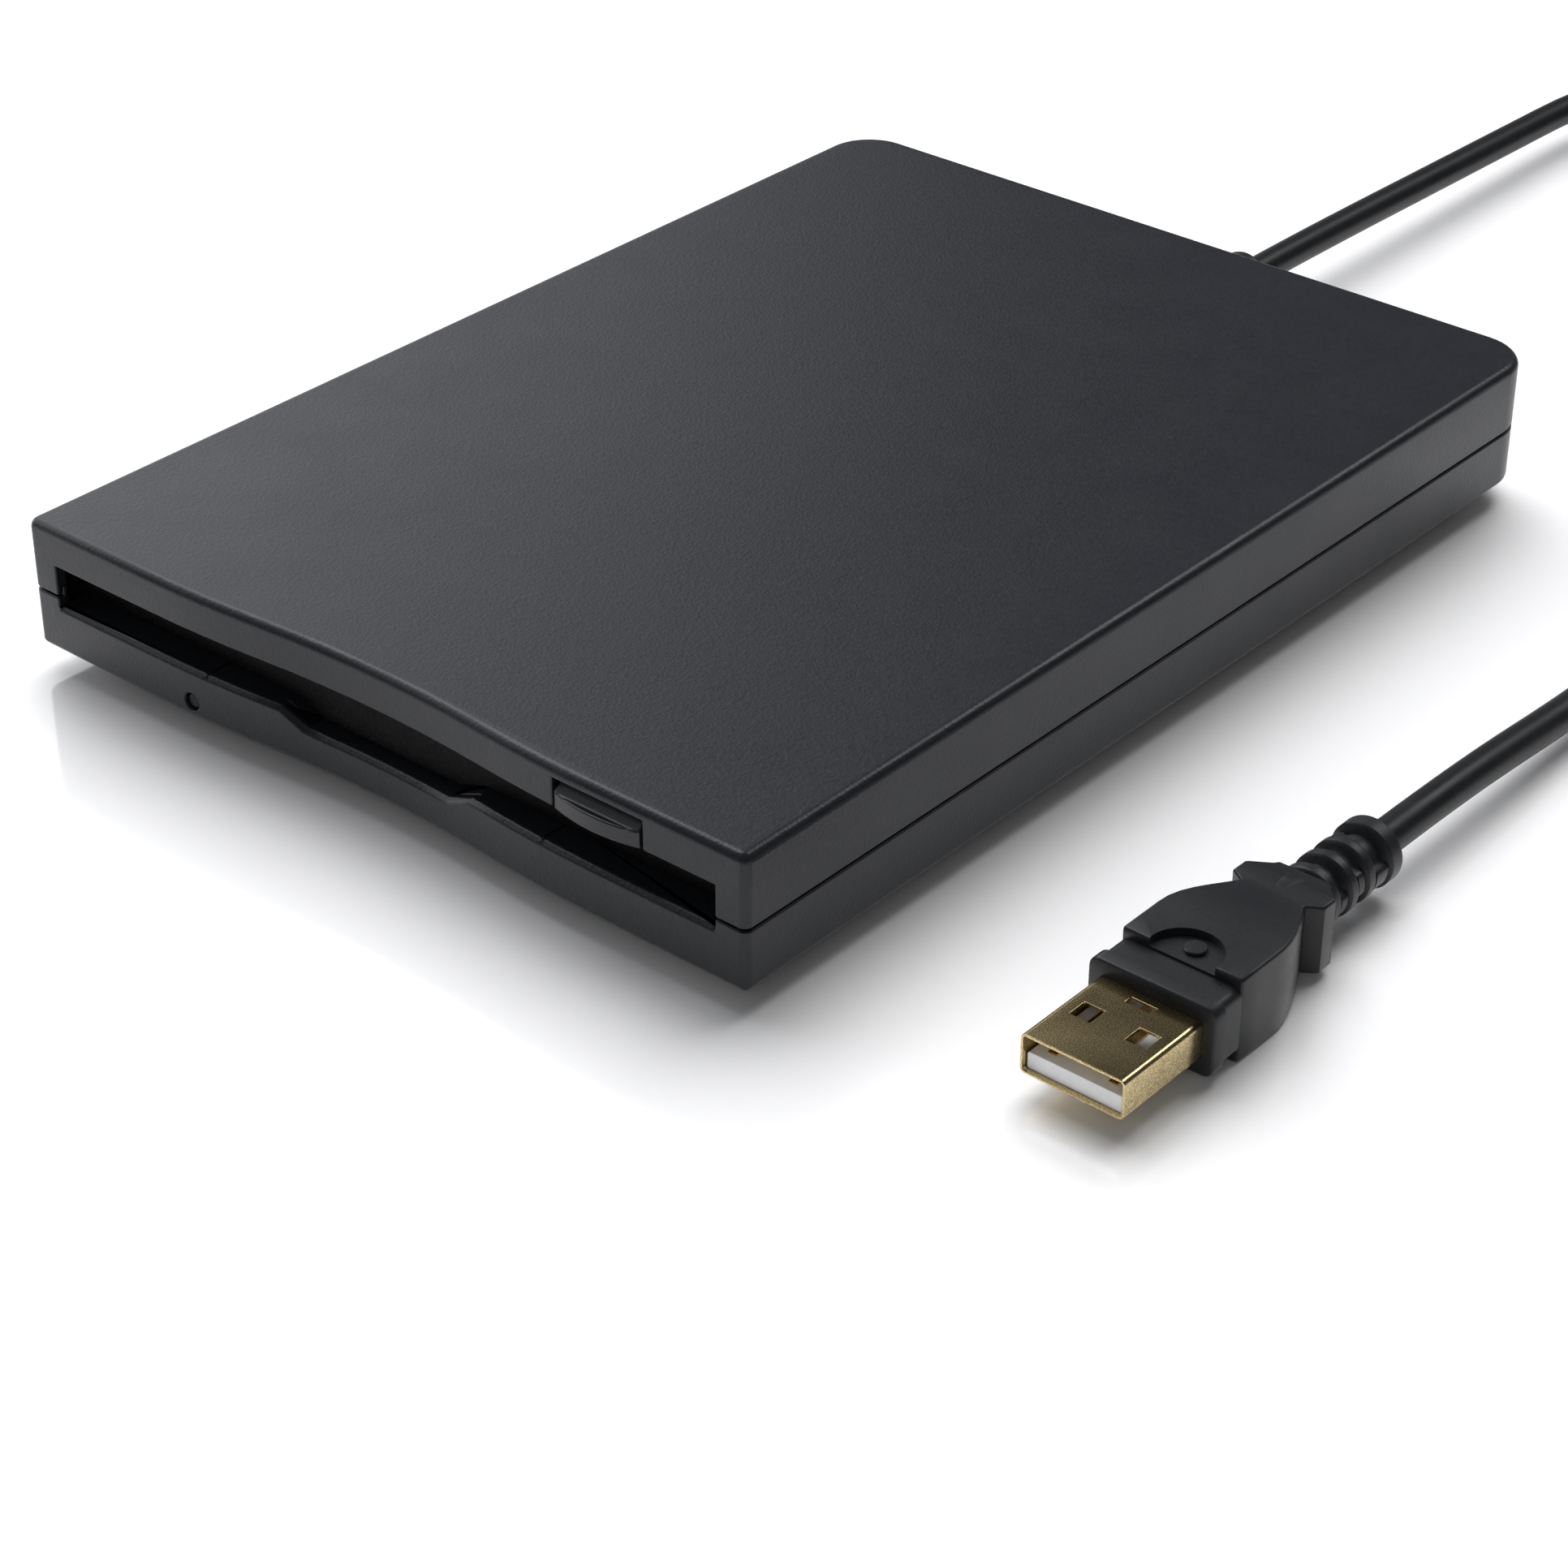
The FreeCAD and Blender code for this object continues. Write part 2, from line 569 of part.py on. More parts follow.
def make_shutter_lever():
    """The lever that the disk pushes aside: an arm on the bay's roof with a finger that hangs through it."""
    body = piece("shutter_lever")
    low, high = "bay_high + thin_metal + fit", "bay_high + thin_metal + fit + 0.6"
    rest = math.radians(LEVER_REST)
    side = (-math.sin(rest) * 2.2, math.cos(rest) * 2.2)
    tip = lever_point(LEVER_REST, LEVER_REACH)
    corners = [("%s + %.4f" % (spot[0], side[0] * sign), "%s + %.4f" % (spot[1], side[1] * sign))
               for spot, sign in ((LEVER_PIVOT, -1), (LEVER_PIVOT, 1), (tip, 1), (tip, -1))]
    pad(body, "XY", low, high, [corners[0] + (-1, "2.2"), corners[1], corners[2] + (-1, "2.2"), corners[3]])
    pad(body, "XY", "bay_low + 0.8", high, disc(tip[0], tip[1], "1"))
    cut(body, "XY", low, high, disc(LEVER_PIVOT[0], LEVER_PIVOT[1], "1.05"))
    pivot = piece("lever_pivot")
    pad(pivot, "XY", "bay_high + thin_metal", high, disc(LEVER_PIVOT[0], LEVER_PIVOT[1], "1"))


def make_chassis():
    """The drive unit's tray: floor, two sides with guide slots, a low back, tabs and threaded bushes."""
    body = piece("drive_chassis")
    floor_high = "unit_low + sheet_metal"
    pad(body, "XY", "unit_low", floor_high, box("-unit_half", "-unit_front", "unit_half", "unit_back"))
    walls = [box("unit_half - side_metal", "-unit_front", "unit_half", "unit_back"),
             box("-unit_half", "-unit_front", "-unit_half + side_metal", "unit_back")]
    pad(body, "XY", floor_high + " - 0.1", "unit_high", *walls)
    pad(body, "XY", floor_high + " - 0.1", "10", box("-unit_half + 0.1", "unit_back - side_metal", "20", "unit_back"))
    slot = "(pin_radius + fit)"
    guides = [rounded("%s - %s" % (y, slot), "pin_height - load_drop - " + slot,
                      "%s + %s" % (y, slot), "pin_height + " + slot, "0.7") for y in ("-pin_front", "pin_back")]
    cut(body, "YZ", "-unit_half - 1", "unit_half + 1", *guides)
    tabs = [box("-29", "screw_front", "-19.5", "screw_front + sheet_metal"),
            box("-29", "motor_front - sheet_metal", "-19.8", "motor_front")]
    pad(body, "XY", floor_high + " - 0.1", "12.7", *tabs)
    rod_tabs = [box("13", "screw_front - 0.6", "19", "screw_front + 0.2"),
                box("13", "unit_back - 1.5", "19", "unit_back - side_metal + 0.1")]
    pad(body, "XY", floor_high + " - 0.1", "9.4", *rod_tabs)
    pad(body, "XY", floor_high + " - 0.1", floor_high + " + 1.2", *at_spots(FRONT_SCREW_SPOTS, "1.9"))
    cut(body, "XY", "unit_low - 0.1", "6.6", *at_spots(FRONT_SCREW_SPOTS, "0.9"))
    cut(body, "XY", "unit_low - 0.1", "6.6", *at_spots(UNIT_SCREW_SPOTS, "1.1"))
    cut(body, "XZ", "screw_front - 0.1", "motor_front + 0.1", disc("-screw_side", "screw_height", "screw_radius + fit"))
    cut(body, "XZ", "screw_front - 0.8", "unit_back - side_metal", disc("rod_side", "rod_height", "rod_radius"))
    cut(body, "XY", "unit_low - 0.1", floor_high + " + 0.1", rounded("-30", "10", "-12", "26", "2"),
        rounded("14", "8", "32", "26", "2"), rounded("-40", "-34", "-22", "2", "3"), rounded("22", "-34", "40", "2", "3"))


def make_unit_cover():
    body = piece("drive_cover")
    high = "unit_high + cover_metal"
    pad(body, "XY", "unit_high", high, [
        ("-unit_half", "-56"), ("24", "-56"), ("26", "-50"), ("39.4", "-50"), ("41.4", "-56"),
        ("unit_half", "-56"), ("unit_half", "unit_back"), ("-unit_half", "unit_back")])
    cut(body, "XY", "unit_high", high, disc("0", "-spindle_back", "14"), rounded("-8", "6", "8", "34", "3"))


def make_spindle():
    stator = piece("spindle_stator", "0", "-spindle_back", "unit_low + sheet_metal")
    pad(stator, "XY", "0", "0.3", disc("0", "0", "rotor_radius - 1"))
    pad(stator, "XY", "0.2", "1.3", disc("0", "0", "shaft_radius + 1.6"))
    tooth = pad(stator, "XY", "0.2", "0.9", box("2.9", "-0.7", "9.6", "0.7"))
    shoe = pad(stator, "XY", "0.2", "1", box("9.4", "-2.6", "12.4", "2.6"))
    pattern = stator.newObject("PartDesign::PolarPattern", "PolarPattern")
    pattern.Originals = [tooth, shoe]
    pattern.Axis = (next(f for f in stator.Origin.OriginFeatures if f.Role == "Z_Axis"), [""])
    pattern.Angle = 360
    pattern.Occurrences = 9
    stator.Tip = pattern
    doc.recompute()
    cut(stator, "XY", "0", "1.4", disc("0", "0", "shaft_radius + 0.03"))
    rotor = piece("spindle_rotor", "0", "-spindle_back", "0")
    pad(rotor, "XY", "6.6", "7.1", disc("0", "0", "rotor_radius"))
    pad(rotor, "XY", "5.7", "6.7", disc("0", "0", "rotor_radius"))
    cut(rotor, "XY", "5.7", "6.6", disc("0", "0", "rotor_radius - 1.2"))
    cut(rotor, "XY", "6.5", "7.1", disc("0", "0", "shaft_radius"))
    hub = piece("spindle_hub", "0", "-spindle_back", "0")
    pad(hub, "XY", "7.1", "7.5", disc("0", "0", "11"))
    pad(hub, "XY", "5.3", "8.6", disc("0", "0", "shaft_radius"))
    dress(hub, "Chamfer", "0.4", level("8.6"))
    pad(hub, "XY", "7.4", "8.3", disc("9.2", "0", "0.8"))


def make_head_parts():
    motor = piece("stepper_motor")
    pad(motor, "XZ", "motor_front", "unit_back - side_metal", disc("-screw_side", "screw_height", "motor_radius"))
    dress(motor, "Chamfer", "0.4", lambda b: b.YMin > value("unit_back - side_metal") - 1e-3)
    cut(motor, "XZ", "motor_front", "motor_front + 3", disc("-screw_side", "screw_height", "screw_radius + fit"))

    screw = piece("lead_screw", "-screw_side", "0", "screw_height")
    root, start, end, pitch, teeth = "(screw_radius - 0.35)", "screw_front + 1.2", "motor_front - 1.2", 1.5, 12
    profile = [("screw_front", "0"), ("motor_front + 2.5", "0"), ("motor_front + 2.5", "screw_radius")]
    profile.append((end, "screw_radius"))
    for step in range(teeth, 0, -1):
        at = "%s + %.3f" % (start, step * pitch)
        profile += [(at, "screw_radius"), (at + " - 0.5", root), (at + " - 0.75", root)]
    profile += [(start, "screw_radius"), ("screw_front", "screw_radius")]
    revolve(screw, "YZ", "H", profile)

    rod = piece("guide_rod")
    pad(rod, "XZ", "screw_front - 0.6", "unit_back - side_metal", disc("rod_side", "rod_height", "rod_radius"))

    carriage = piece("head_carriage")
    pad(carriage, "XY", "5.6", "8.4", box("-19", "carriage_front", "19.5", "carriage_back"))
    pad(carriage, "XY", "5.6", "6.9", box("-5.5", "18.5", "5.5", "carriage_front + 0.1"))
    pad(carriage, "XZ", "carriage_front", "carriage_back", disc("rod_side", "rod_height + 0.1", "1.85"))
    cheeks = [box("arm_half + 0.1", "48", "arm_half + 1.6", "carriage_back"),
              box("-arm_half - 1.6", "48", "-arm_half - 0.1", "carriage_back")]
    pad(carriage, "XY", "8.3", "arm_axis_height + 1.4", *cheeks)
    pad(carriage, "XZ", "48", "50", box("-26.8", "6.4", "-18.9", "11.6"))
    cut(carriage, "XZ", "carriage_front - 1", "carriage_back + 1", disc("rod_side", "rod_height", "rod_radius + fit"))
    cut(carriage, "XZ", "47.9", "50.1", disc("-screw_side", "screw_height", "screw_radius + fit"))
    cut(carriage, "YZ", "-8", "8", disc("arm_axis_back", "arm_axis_height", "0.8"))
    dress(carriage, "Fillet", "0.6", along("z", 5))

    lower = piece("lower_head")
    pad(lower, "XY", "6.9", "8.5", rounded("-2.5", "head_back - 2.75", "2.5", "head_back + 2.75", "0.6"))
    dress(lower, "Chamfer", "0.3", level("8.5"))

    arm = piece("upper_head_arm")
    pad(arm, "XY", "arm_low", "arm_low + 0.8", [
        ("-3.6", "17.5"), ("3.6", "17.5"), ("arm_half", "24"), ("arm_half", "53.2"),
        ("-arm_half", "53.2"), ("-arm_half", "24")])
    pad(arm, "XY", "arm_axis_height - 0.8", "arm_low + 0.1", box("-arm_half", "50", "arm_half", "52"))
    pad(arm, "YZ", "-arm_half - 1.5", "arm_half + 1.5", disc("arm_axis_back", "arm_axis_height", "0.75"))
    cut(arm, "XY", "arm_low", "arm_low + 0.8", rounded("-2.8", "28", "2.8", "45", "1.5"))

    upper = piece("upper_head")
    pad(upper, "XY", "13.35", "arm_low", rounded("-2.5", "head_back - 2.75", "2.5", "head_back + 2.75", "0.6"))
    dress(upper, "Chamfer", "0.3", level("13.35"))


def make_boards():
    control = piece("control_board")
    pad(control, "XY", "6.4", "7.4", [
        ("21.5", "31"), ("46.6", "31"), ("46.6", "40"), ("41.5", "40"), ("41.5", "47"), ("46.6", "47"),
        ("46.6", "58.6"), ("21.5", "58.6")])
    feet = at_spots([("24", "33.5"), ("39", "33.5"), ("24", "56"), ("44", "56")], "1.3")
    pad(control, "XY", "unit_low + sheet_metal", "6.5", *feet)
    chips = piece("control_chips")
    pad(chips, "XY", "7.4", "8.8", box("25", "36", "35", "46"), box("36.8", "32.5", "42.8", "38.5"))
    pad(chips, "XY", "7.4", "9.4", box("24", "54.4", "40", "58"))
    interface = piece("interface_board")
    pad(interface, "XY", "6", "7", box("-37", "61.3", "37", "68.6"))
    parts = piece("interface_chips")
    pad(parts, "XY", "7", "8.2", box("8", "62.2", "15", "67.6"))
    pad(parts, "XY", "7", "9.4", box("24", "61.8", "36", "64.8"), box("-20", "62", "-8", "66"))
    pad(parts, "XY", "7", "10", box("-33", "62.5", "-27", "66.5"))
    flex = piece("flex_cable")
    pad(flex, "YZ", "25", "39", [
        ("58", "8.4"), ("59", "8.4"), ("60.2", "10.4"), ("61.8", "8.4"), ("61.8", "8.6"), ("60.2", "10.7"),
        ("58.9", "8.6"), ("58", "8.6")])
    sensors = piece("disk_sensors")
    pad(sensors, "XY", "unit_low + sheet_metal", "6.8", box("-35", "-47", "-29", "-43"), box("29", "-47", "35", "-43"))
    pad(sensors, "XY", "6.7", "7.1", disc("-32", "-45", "0.8"), disc("32", "-45", "0.8"))


def make_leads():
    """The cord's bared leads, from the strain relief to the connector on the interface board."""
    body = piece("cord_leads")
    for index in range(4):
        x = "%.2f" % (-1.8 + 1.2 * index)
        goal = "%.2f" % (-17.0 + 2.0 * index)
        start = Vector(value(x), value(BACK + " - wall - 2.1"), value("exit_height") + 1.9)
        corner = Vector(value(goal), 67.6 - 0.35 * index, 8.9)
        end = Vector(value(goal), 66.0, 8.9)
        tube = sweep_wire(bend_wire([start, corner, end])[0], 0.4)
        if index == 0:
            total = tube
        else:
            total = Part.makeCompound(total.Solids + tube.Solids)
    feature = body.newObject("PartDesign::Feature", "Leads")
    feature.Shape = total
    body.Tip = feature
    doc.recompute()


def bend_wire(points):
    """Straight runs joined by tangent arcs at every middle point, and the arcs' radii."""
    edges, bends = [], []
    last = points[0]
    for before, corner, after in zip(points, points[1:], points[2:]):
        into, out = (corner - before), (after - corner)
        short = min(into.Length, out.Length)
        turn = into.getAngle(out)
        reach = 0.45 * short
        into.normalize()
        out.normalize()
        start, end = corner - into * reach, corner + out * reach
        middle = (start + end) * 0.5
        sagitta = (end - start).Length / 2 * math.tan(turn / 4)
        top = middle + (corner - middle).normalize() * sagitta
        edges.append(Part.LineSegment(last, start).toShape())
        edges.append(Part.Arc(start, top, end).toShape())
        bends.append(reach / math.tan(turn / 2))
        last = end
    edges.append(Part.LineSegment(last, points[-1]).toShape())
    return Part.Wire(edges), bends


def sweep_wire(wire, radius):
    """A round tube along a wire."""
    first = wire.Edges[0]
    start = first.valueAt(first.FirstParameter)
    ahead = first.tangentAt(first.FirstParameter)
    ring = Part.Wire(Part.Circle(start, ahead, radius).toShape())
    return wire.makePipeShell([ring], True, False)


def biarc(start, ahead, end, onward):
    """Two arcs from a point and direction to another point and direction."""
    chord, both = end - start, ahead + onward
    flat = 2 * (1 - ahead.dot(onward))
    push = chord.dot(both)
    reach = (math.sqrt(push * push + flat * chord.dot(chord)) - push) / flat
    first, second = start + ahead * reach, end - onward * reach
    middle = (first + second) * 0.5
    return [tangent_arc(start, first, middle), tangent_arc(middle, second, end)]


def tangent_arc(start, corner, end):
    """The arc that touches start-corner at start and corner-end at end."""
    half = (start + end) * 0.5
    turn = (corner - start).getAngle(end - corner)
    top = half + (corner - half).normalize() * ((end - start).Length / 2 * math.tan(turn / 4))
    return Part.Arc(start, top, end).toShape()


COIL_START = 120.0
COIL_SWEEP = 1200.0
CLIMB = 180.0


def coil_point(swept):
    """Place on the coil after so many degrees: in on the lower layer, up, and out on the upper one."""
    rate = value("coil_pitch") / 360
    wait = (COIL_SWEEP - CLIMB) / 2
    low, rise = value("coil_low"), value("coil_pitch")
    if swept <= wait:
        inward, height = rate * swept, low
    elif swept >= wait + CLIMB:
        inward, height = rate * (COIL_SWEEP - swept), low + rise
    else:
        part = (swept - wait) / CLIMB
        inward = rate * (wait + CLIMB * part * (1 - part))
        height = low + rise * (1 - math.cos(math.pi * part)) / 2
    reach = value("coil_radius") - inward
    turn = math.radians(COIL_START - swept)
    centre = Vector(value("coil_side"), value("coil_back"), 0)
    return centre + Vector(reach * math.cos(turn), reach * math.sin(turn), height)


def coil_way(swept):
    """Direction of travel on the coil."""
    step = 0.01
    first = min(max(swept - step / 2, 0.0), COIL_SWEEP - step)
    return (coil_point(first + step) - coil_point(first)).normalize()


def coil_wire():
    """The coil's middle line, with a straight end one cord thick at each side."""
    stub = 2 * value("cord_radius")
    stops = [COIL_SWEEP * i / 20 for i in range(21)]
    start, end = coil_point(0), coil_point(COIL_SWEEP)
    edges = [Part.LineSegment(start - coil_way(0) * stub, start).toShape()]
    for first, last in zip(stops, stops[1:]):
        edges += biarc(coil_point(first), coil_way(first), coil_point(last), coil_way(last))
    edges.append(Part.LineSegment(end, end + coil_way(COIL_SWEEP) * stub).toShape())
    return Part.Wire(edges)


def plain(label, shape):
    """A sub-part whose shape is set directly."""
    feature = doc.addObject("Part::Feature", label)
    feature.Label = label
    feature.Shape = shape
    feature.Placement = Placement()
    pieces.append(feature)
    return feature


def make_cord():
    radius = value("cord_radius")
    middle = coil_wire()
    stub = 2 * radius
    coil_in = coil_point(0) - coil_way(0) * stub
    coil_out = coil_point(COIL_SWEEP) + coil_way(COIL_SWEEP) * stub
    exit_y = value(BACK + " + relief_length")
    exit_z = value("exit_height")
    first = [Vector(0, exit_y, exit_z), Vector(0, exit_y + 13, exit_z), Vector(0, 140, 5.9), Vector(0, 188.6, 4.6),
             coil_in - coil_way(0) * 12, coil_in]
    plug_x, plug_z = value("plug_side"), value("plug_height")
    second = [coil_out, coil_out + coil_way(COIL_SWEEP) * 14, Vector(75.6, 132, 3.2), Vector(79, 92, 2.1),
              Vector(85, 56, 2.1), Vector(plug_x, 28, 2.9), Vector(plug_x, 3, plug_z), Vector(plug_x, -13, plug_z)]
    lengths = []
    first_wire, first_bends = bend_wire(first)
    second_wire, second_bends = bend_wire(second)
    for label, wire in (("cord_to_coil", first_wire), ("cord_coil", middle), ("cord_to_plug", second_wire)):
        tube = sweep_wire(wire, radius)
        plain(label, tube)
        lengths.append(wire.Length)
        print(label, "length %.1f" % wire.Length, "tube volume %.1f" % tube.Volume,
              "section x length %.1f" % (math.pi * radius ** 2 * wire.Length))
    print("cord length %.1f" % sum(lengths), "least bend radius %.1f" % min(first_bends + second_bends))
    gap = least_gap(middle) - 2 * radius
    print("coil's least gap to itself %.2f" % gap)


def least_gap(wire):
    """The least distance between the coil's middle line and a neighbouring turn of itself."""
    spots = wire.discretize(Distance=1.0)
    apart = int(2 * math.pi * value("coil_radius") * 0.4)
    least = 1e9
    for i, one in enumerate(spots):
        for other in spots[i + apart:]:
            least = min(least, one.distanceToPoint(other))
    return least


def make_tie():
    """The band around the coil, where both layers lie one over the other."""
    body = piece("coil_tie")
    turn = COIL_START - 60
    play = "0.35"
    inner = "(coil_radius - coil_pitch*420/360 - cord_radius - %s)" % play
    outer = "(coil_radius - coil_pitch*60/360 + cord_radius + %s)" % play
    low, high = "tie_metal", "(coil_low + coil_pitch + cord_radius + 0.1)"
    pad(body, "XZ", "-tie_width/2", "tie_width/2",
        rounded(inner + " - tie_metal", "0", outer + " + tie_metal", high + " + tie_metal", "2.4"),
        rounded(inner, low, outer, high, "1.6"))
    place = Placement(Vector(value("coil_side"), value("coil_back"), 0), Rotation(Vector(0, 0, 1), turn))
    for axis, text in (("x", "coil_side"), ("y", "coil_back")):
        body.setExpression("Placement.Base." + axis, bound(text))
    body.Placement = place


def make_strain_relief():
    """Flange and neck in the case's back wall, then a ringed taper around the cord."""
    body = piece("cable_strain_relief", "0", "0", "exit_height")
    back = BACK
    end = BACK + " + relief_length"
    profile = [(back + " - wall - 1.6", "0"), (end, "0"), (end, "relief_ring - 0.3"),
               (end + " - 0.4", "relief_ring"), (end + " - 2", "relief_ring"), (end + " - 2.3", "2.9")]
    ring, gap = 2.0, 1.3
    at = 2.3 + gap
    for step in range(3):
        crown = "%.2f" % (3.45 + 0.2 * step)
        profile += [("%s - %.2f" % (end, at), "2.9"), ("%s - %.2f" % (end, at), crown),
                    ("%s - %.2f" % (end, at + ring), crown), ("%s - %.2f" % (end, at + ring), "2.9")]
        at += ring + gap
    profile += [(back + " + 2.2", "2.9"), (back + " + 2.2", "4.2"), (back + " + 0.02", "4.4"),
                (back + " + 0.02", "2.7"), (back + " - wall - 0.02", "2.7"), (back + " - wall - 0.02", "3"),
                (back + " - wall - 1.6", "3")]
    revolve(body, "YZ", "H", profile)


# plug, in its own frame: origin on its axis at the tip, Y to the cord
def make_plug():
    spot = ("plug_side", "-plug_tip", "plug_height")
    half, thick = "(shell_width/2)", "(shell_thick/2)"

    shell = piece("plug_shell", *spot)
    pad(shell, "XZ", "0", "19.5", rounded("-" + half, "-" + thick, half, thick, "0.6"),
        rounded("-%s + shell_metal" % half, "-%s + shell_metal" % thick,
                half + " - shell_metal", thick + " - shell_metal", "0.3"))
    windows = [box(x + " - 1.18", "5.4", x + " + 1.18", "7.8") for x in ("-3.2", "3.2")]
    cut(shell, "XY", "-%s - 0.1" % thick, thick + " + 0.1", *windows)
    cut(shell, "XY", "0", thick + " + 0.1", box("-1.5", "10.25", "1.5", "11.25"))

    insulator = piece("plug_insulator", *spot)
    low = "-%s + shell_metal" % thick
    wide = "(shell_width/2 - shell_metal - 0.1)"
    pad(insulator, "XY", low, low + " + 1.9", box("-" + wide, "0.6", wide, "19"))
    pad(insulator, "XY", low, thick + " - shell_metal", box("-" + wide, "13.5", wide, "19"))
    dress(insulator, "Chamfer", "0.2", along("y", 5))

    contacts = piece("plug_contacts", *spot)
    strips = [box("%s - 0.5" % x, y, "%s + 0.5" % x, "13.5")
              for x, y in (("-3.5", "1.6"), ("-1", "2.6"), ("1", "2.6"), ("3.5", "1.6"))]
    pad(contacts, "XY", low + " + 1.9", low + " + 2.1", *strips)

    nose = piece("plug_nose", *spot)
    pad(nose, "XZ", "12.3", "14.3", rounded("-7.4", "-4", "7.4", "4", "1.5"))
    dress(nose, "Fillet", "0.35", lambda b: b.YLength < 1e-4)
    pad(nose, "XZ", "14.2", "17.1", rounded("-6.4", "-3.4", "6.4", "3.4", "1.2"))
    pad(nose, "XZ", "17", "20.5", rounded("-6", "-3", "6", "3", "0.8"))
    cut(nose, "XZ", "12.2", "19.6", rounded("-" + half, "-" + thick, half, thick, "0.6"))

    body = piece("plug_overmould", *spot)
    plan = [("-body_width/2", "17.1"), ("body_width/2", "17.1"), ("body_width/2", "24.4"), ("6.2", "27.6"),
            ("3.7", "32.4"), ("5.4", "33.4"), ("5.4", "35.4"), ("3.4", "37.6"), ("-3.4", "37.6"),
            ("-5.4", "35.4"), ("-5.4", "33.4"), ("-3.7", "32.4"), ("-6.2", "27.6"), ("-body_width/2", "24.4")]
    pad(body, "XY", "-plug_height", "plug_height", plan)
    for sign in ("", "-"):
        edge = [("24", sign + "plug_height"), ("33", sign + "3.55"), ("38", sign + "3.4"),
                ("38", sign + "(plug_height + 1)"), ("24", sign + "(plug_height + 1)")]
        cut(body, "YZ", "-9", "9", edge)
    dress(body, "Fillet", "1.3", lambda b: along("y", 2)(b) and abs(b.ZMin) > 3)
    tail = [("36", "0"), ("50.98", "0"), ("50.98", "3.4"), ("50.6", "3.7"), ("49", "3.7"), ("48.7", "2.9")]
    for step in range(3):
        at = 47.4 - 3.4 * step
        crown = "%.2f" % (3.5 + 0.1 * step)
        tail += [("%.2f" % at, "2.9"), ("%.2f" % at, crown), ("%.2f" % (at - 2.1), crown), ("%.2f" % (at - 2.1), "2.9")]
    tail += [("36", "2.9")]
    revolve(body, "YZ", "H", tail)
    cut(body, "XZ", "17", "20.6", rounded("-6", "-3", "6", "3", "0.8"))
    cut(body, "XY", "4", "plug_height + 0.1", disc("0", "17.6", "3.85"))
    pad(body, "XY", "3.9", "4.4", disc("0", "19.4", "1.2"))


def main():
    make_top_cover()
    make_bottom_case()
    make_feet()
    make_screws("front_case_screws", FRONT_SCREW_SPOTS, UNDER + " + 0.2", UNDER + " + 1", "6.3")
    make_screws("rear_case_screws", REAR_SCREW_SPOTS, UNDER + " + 0.2", UNDER + " + 1", "11.5")
    make_screws("unit_screws", UNIT_SCREW_SPOTS, "unit_low + sheet_metal", "unit_low + sheet_metal + 0.9", "3.3")
    make_lamp()
    make_door()
    make_button()
    make_slide_plate()
    make_disk_holder()
    make_shutter_lever()
    make_chassis()
    make_unit_cover()
    make_spindle()
    make_head_parts()
    make_boards()
    make_leads()
    make_strain_relief()
    make_cord()
    make_tie()
    make_plug()
    doc.recompute()
    for item in doc.Objects:
        if "Invalid" in item.State or "Error" in item.State:
            raise RuntimeError("%s failed: %s" % (item.Label, item.State))
    os.makedirs("parts", exist_ok=True)
    for item in pieces:
        shape = item.Shape
        if shape.isNull() or not shape.isValid() or not shape.Solids:
            raise RuntimeError(item.Label + " has no valid shape")
        shape.exportStep("parts/%s.step" % item.Label)
        box_size = shape.BoundBox
        print("%-20s solids %d volume %9.1f x %.2f..%.2f y %.2f..%.2f z %.2f..%.2f" % (
            item.Label, len(shape.Solids), shape.Volume, box_size.XMin, box_size.XMax,
            box_size.YMin, box_size.YMax, box_size.ZMin, box_size.ZMax))


main()
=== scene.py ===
import json
import math
from collections import namedtuple

import bmesh
import bpy
from bpy.props import FloatProperty, FloatVectorProperty, IntProperty, PointerProperty
from mathutils import Matrix, Vector


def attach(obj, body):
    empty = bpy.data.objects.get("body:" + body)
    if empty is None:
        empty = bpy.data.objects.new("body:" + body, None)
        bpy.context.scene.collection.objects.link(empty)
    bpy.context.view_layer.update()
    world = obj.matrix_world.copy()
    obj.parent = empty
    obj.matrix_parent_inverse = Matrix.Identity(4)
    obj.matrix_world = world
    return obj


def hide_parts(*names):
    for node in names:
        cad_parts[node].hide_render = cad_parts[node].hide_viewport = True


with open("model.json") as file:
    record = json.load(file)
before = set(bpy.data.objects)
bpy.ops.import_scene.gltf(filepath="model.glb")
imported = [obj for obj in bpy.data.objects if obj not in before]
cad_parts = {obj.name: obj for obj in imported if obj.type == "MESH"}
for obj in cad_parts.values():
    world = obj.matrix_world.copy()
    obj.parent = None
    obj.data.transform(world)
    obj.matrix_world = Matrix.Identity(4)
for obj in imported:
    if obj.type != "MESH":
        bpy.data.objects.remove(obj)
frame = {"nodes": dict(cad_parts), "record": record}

bl_info = {
    "name": "Floppy drive dressing",
    "version": (1, 0, 0),
    "blender": (4, 5, 0),
    "location": "3D View > Sidebar > Drive",
    "description": "Finishes an external floppy disk drive with its cord and plug over its packed solids",
    "category": "Object",
}

MM = 0.001
NODES = frame["nodes"]
SLOT_OF = {part["node"]: part["material_slot"] for part in frame["record"]["subparts"]}
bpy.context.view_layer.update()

# where the picture was taken from: place in metres, turns in degrees, lens and sensor in millimetres
CAMERA_PLACE = (0.2448265, -0.2928319, 0.2129027)
CAMERA_ROUND, CAMERA_DOWN, CAMERA_TILT = 40.3763, 32.3656, 0.1033
CAMERA_LENS, CAMERA_SENSOR = 85.9402, 36

# the cord's coil: place in metres, angles in degrees from where it starts to where it ends
COIL_X, COIL_Y, COIL_LOW = 0.05, 0.188, 0.00285
COIL_START, COIL_SWEEP, COIL_CLIMB = 120.0, 1200.0, 180.0

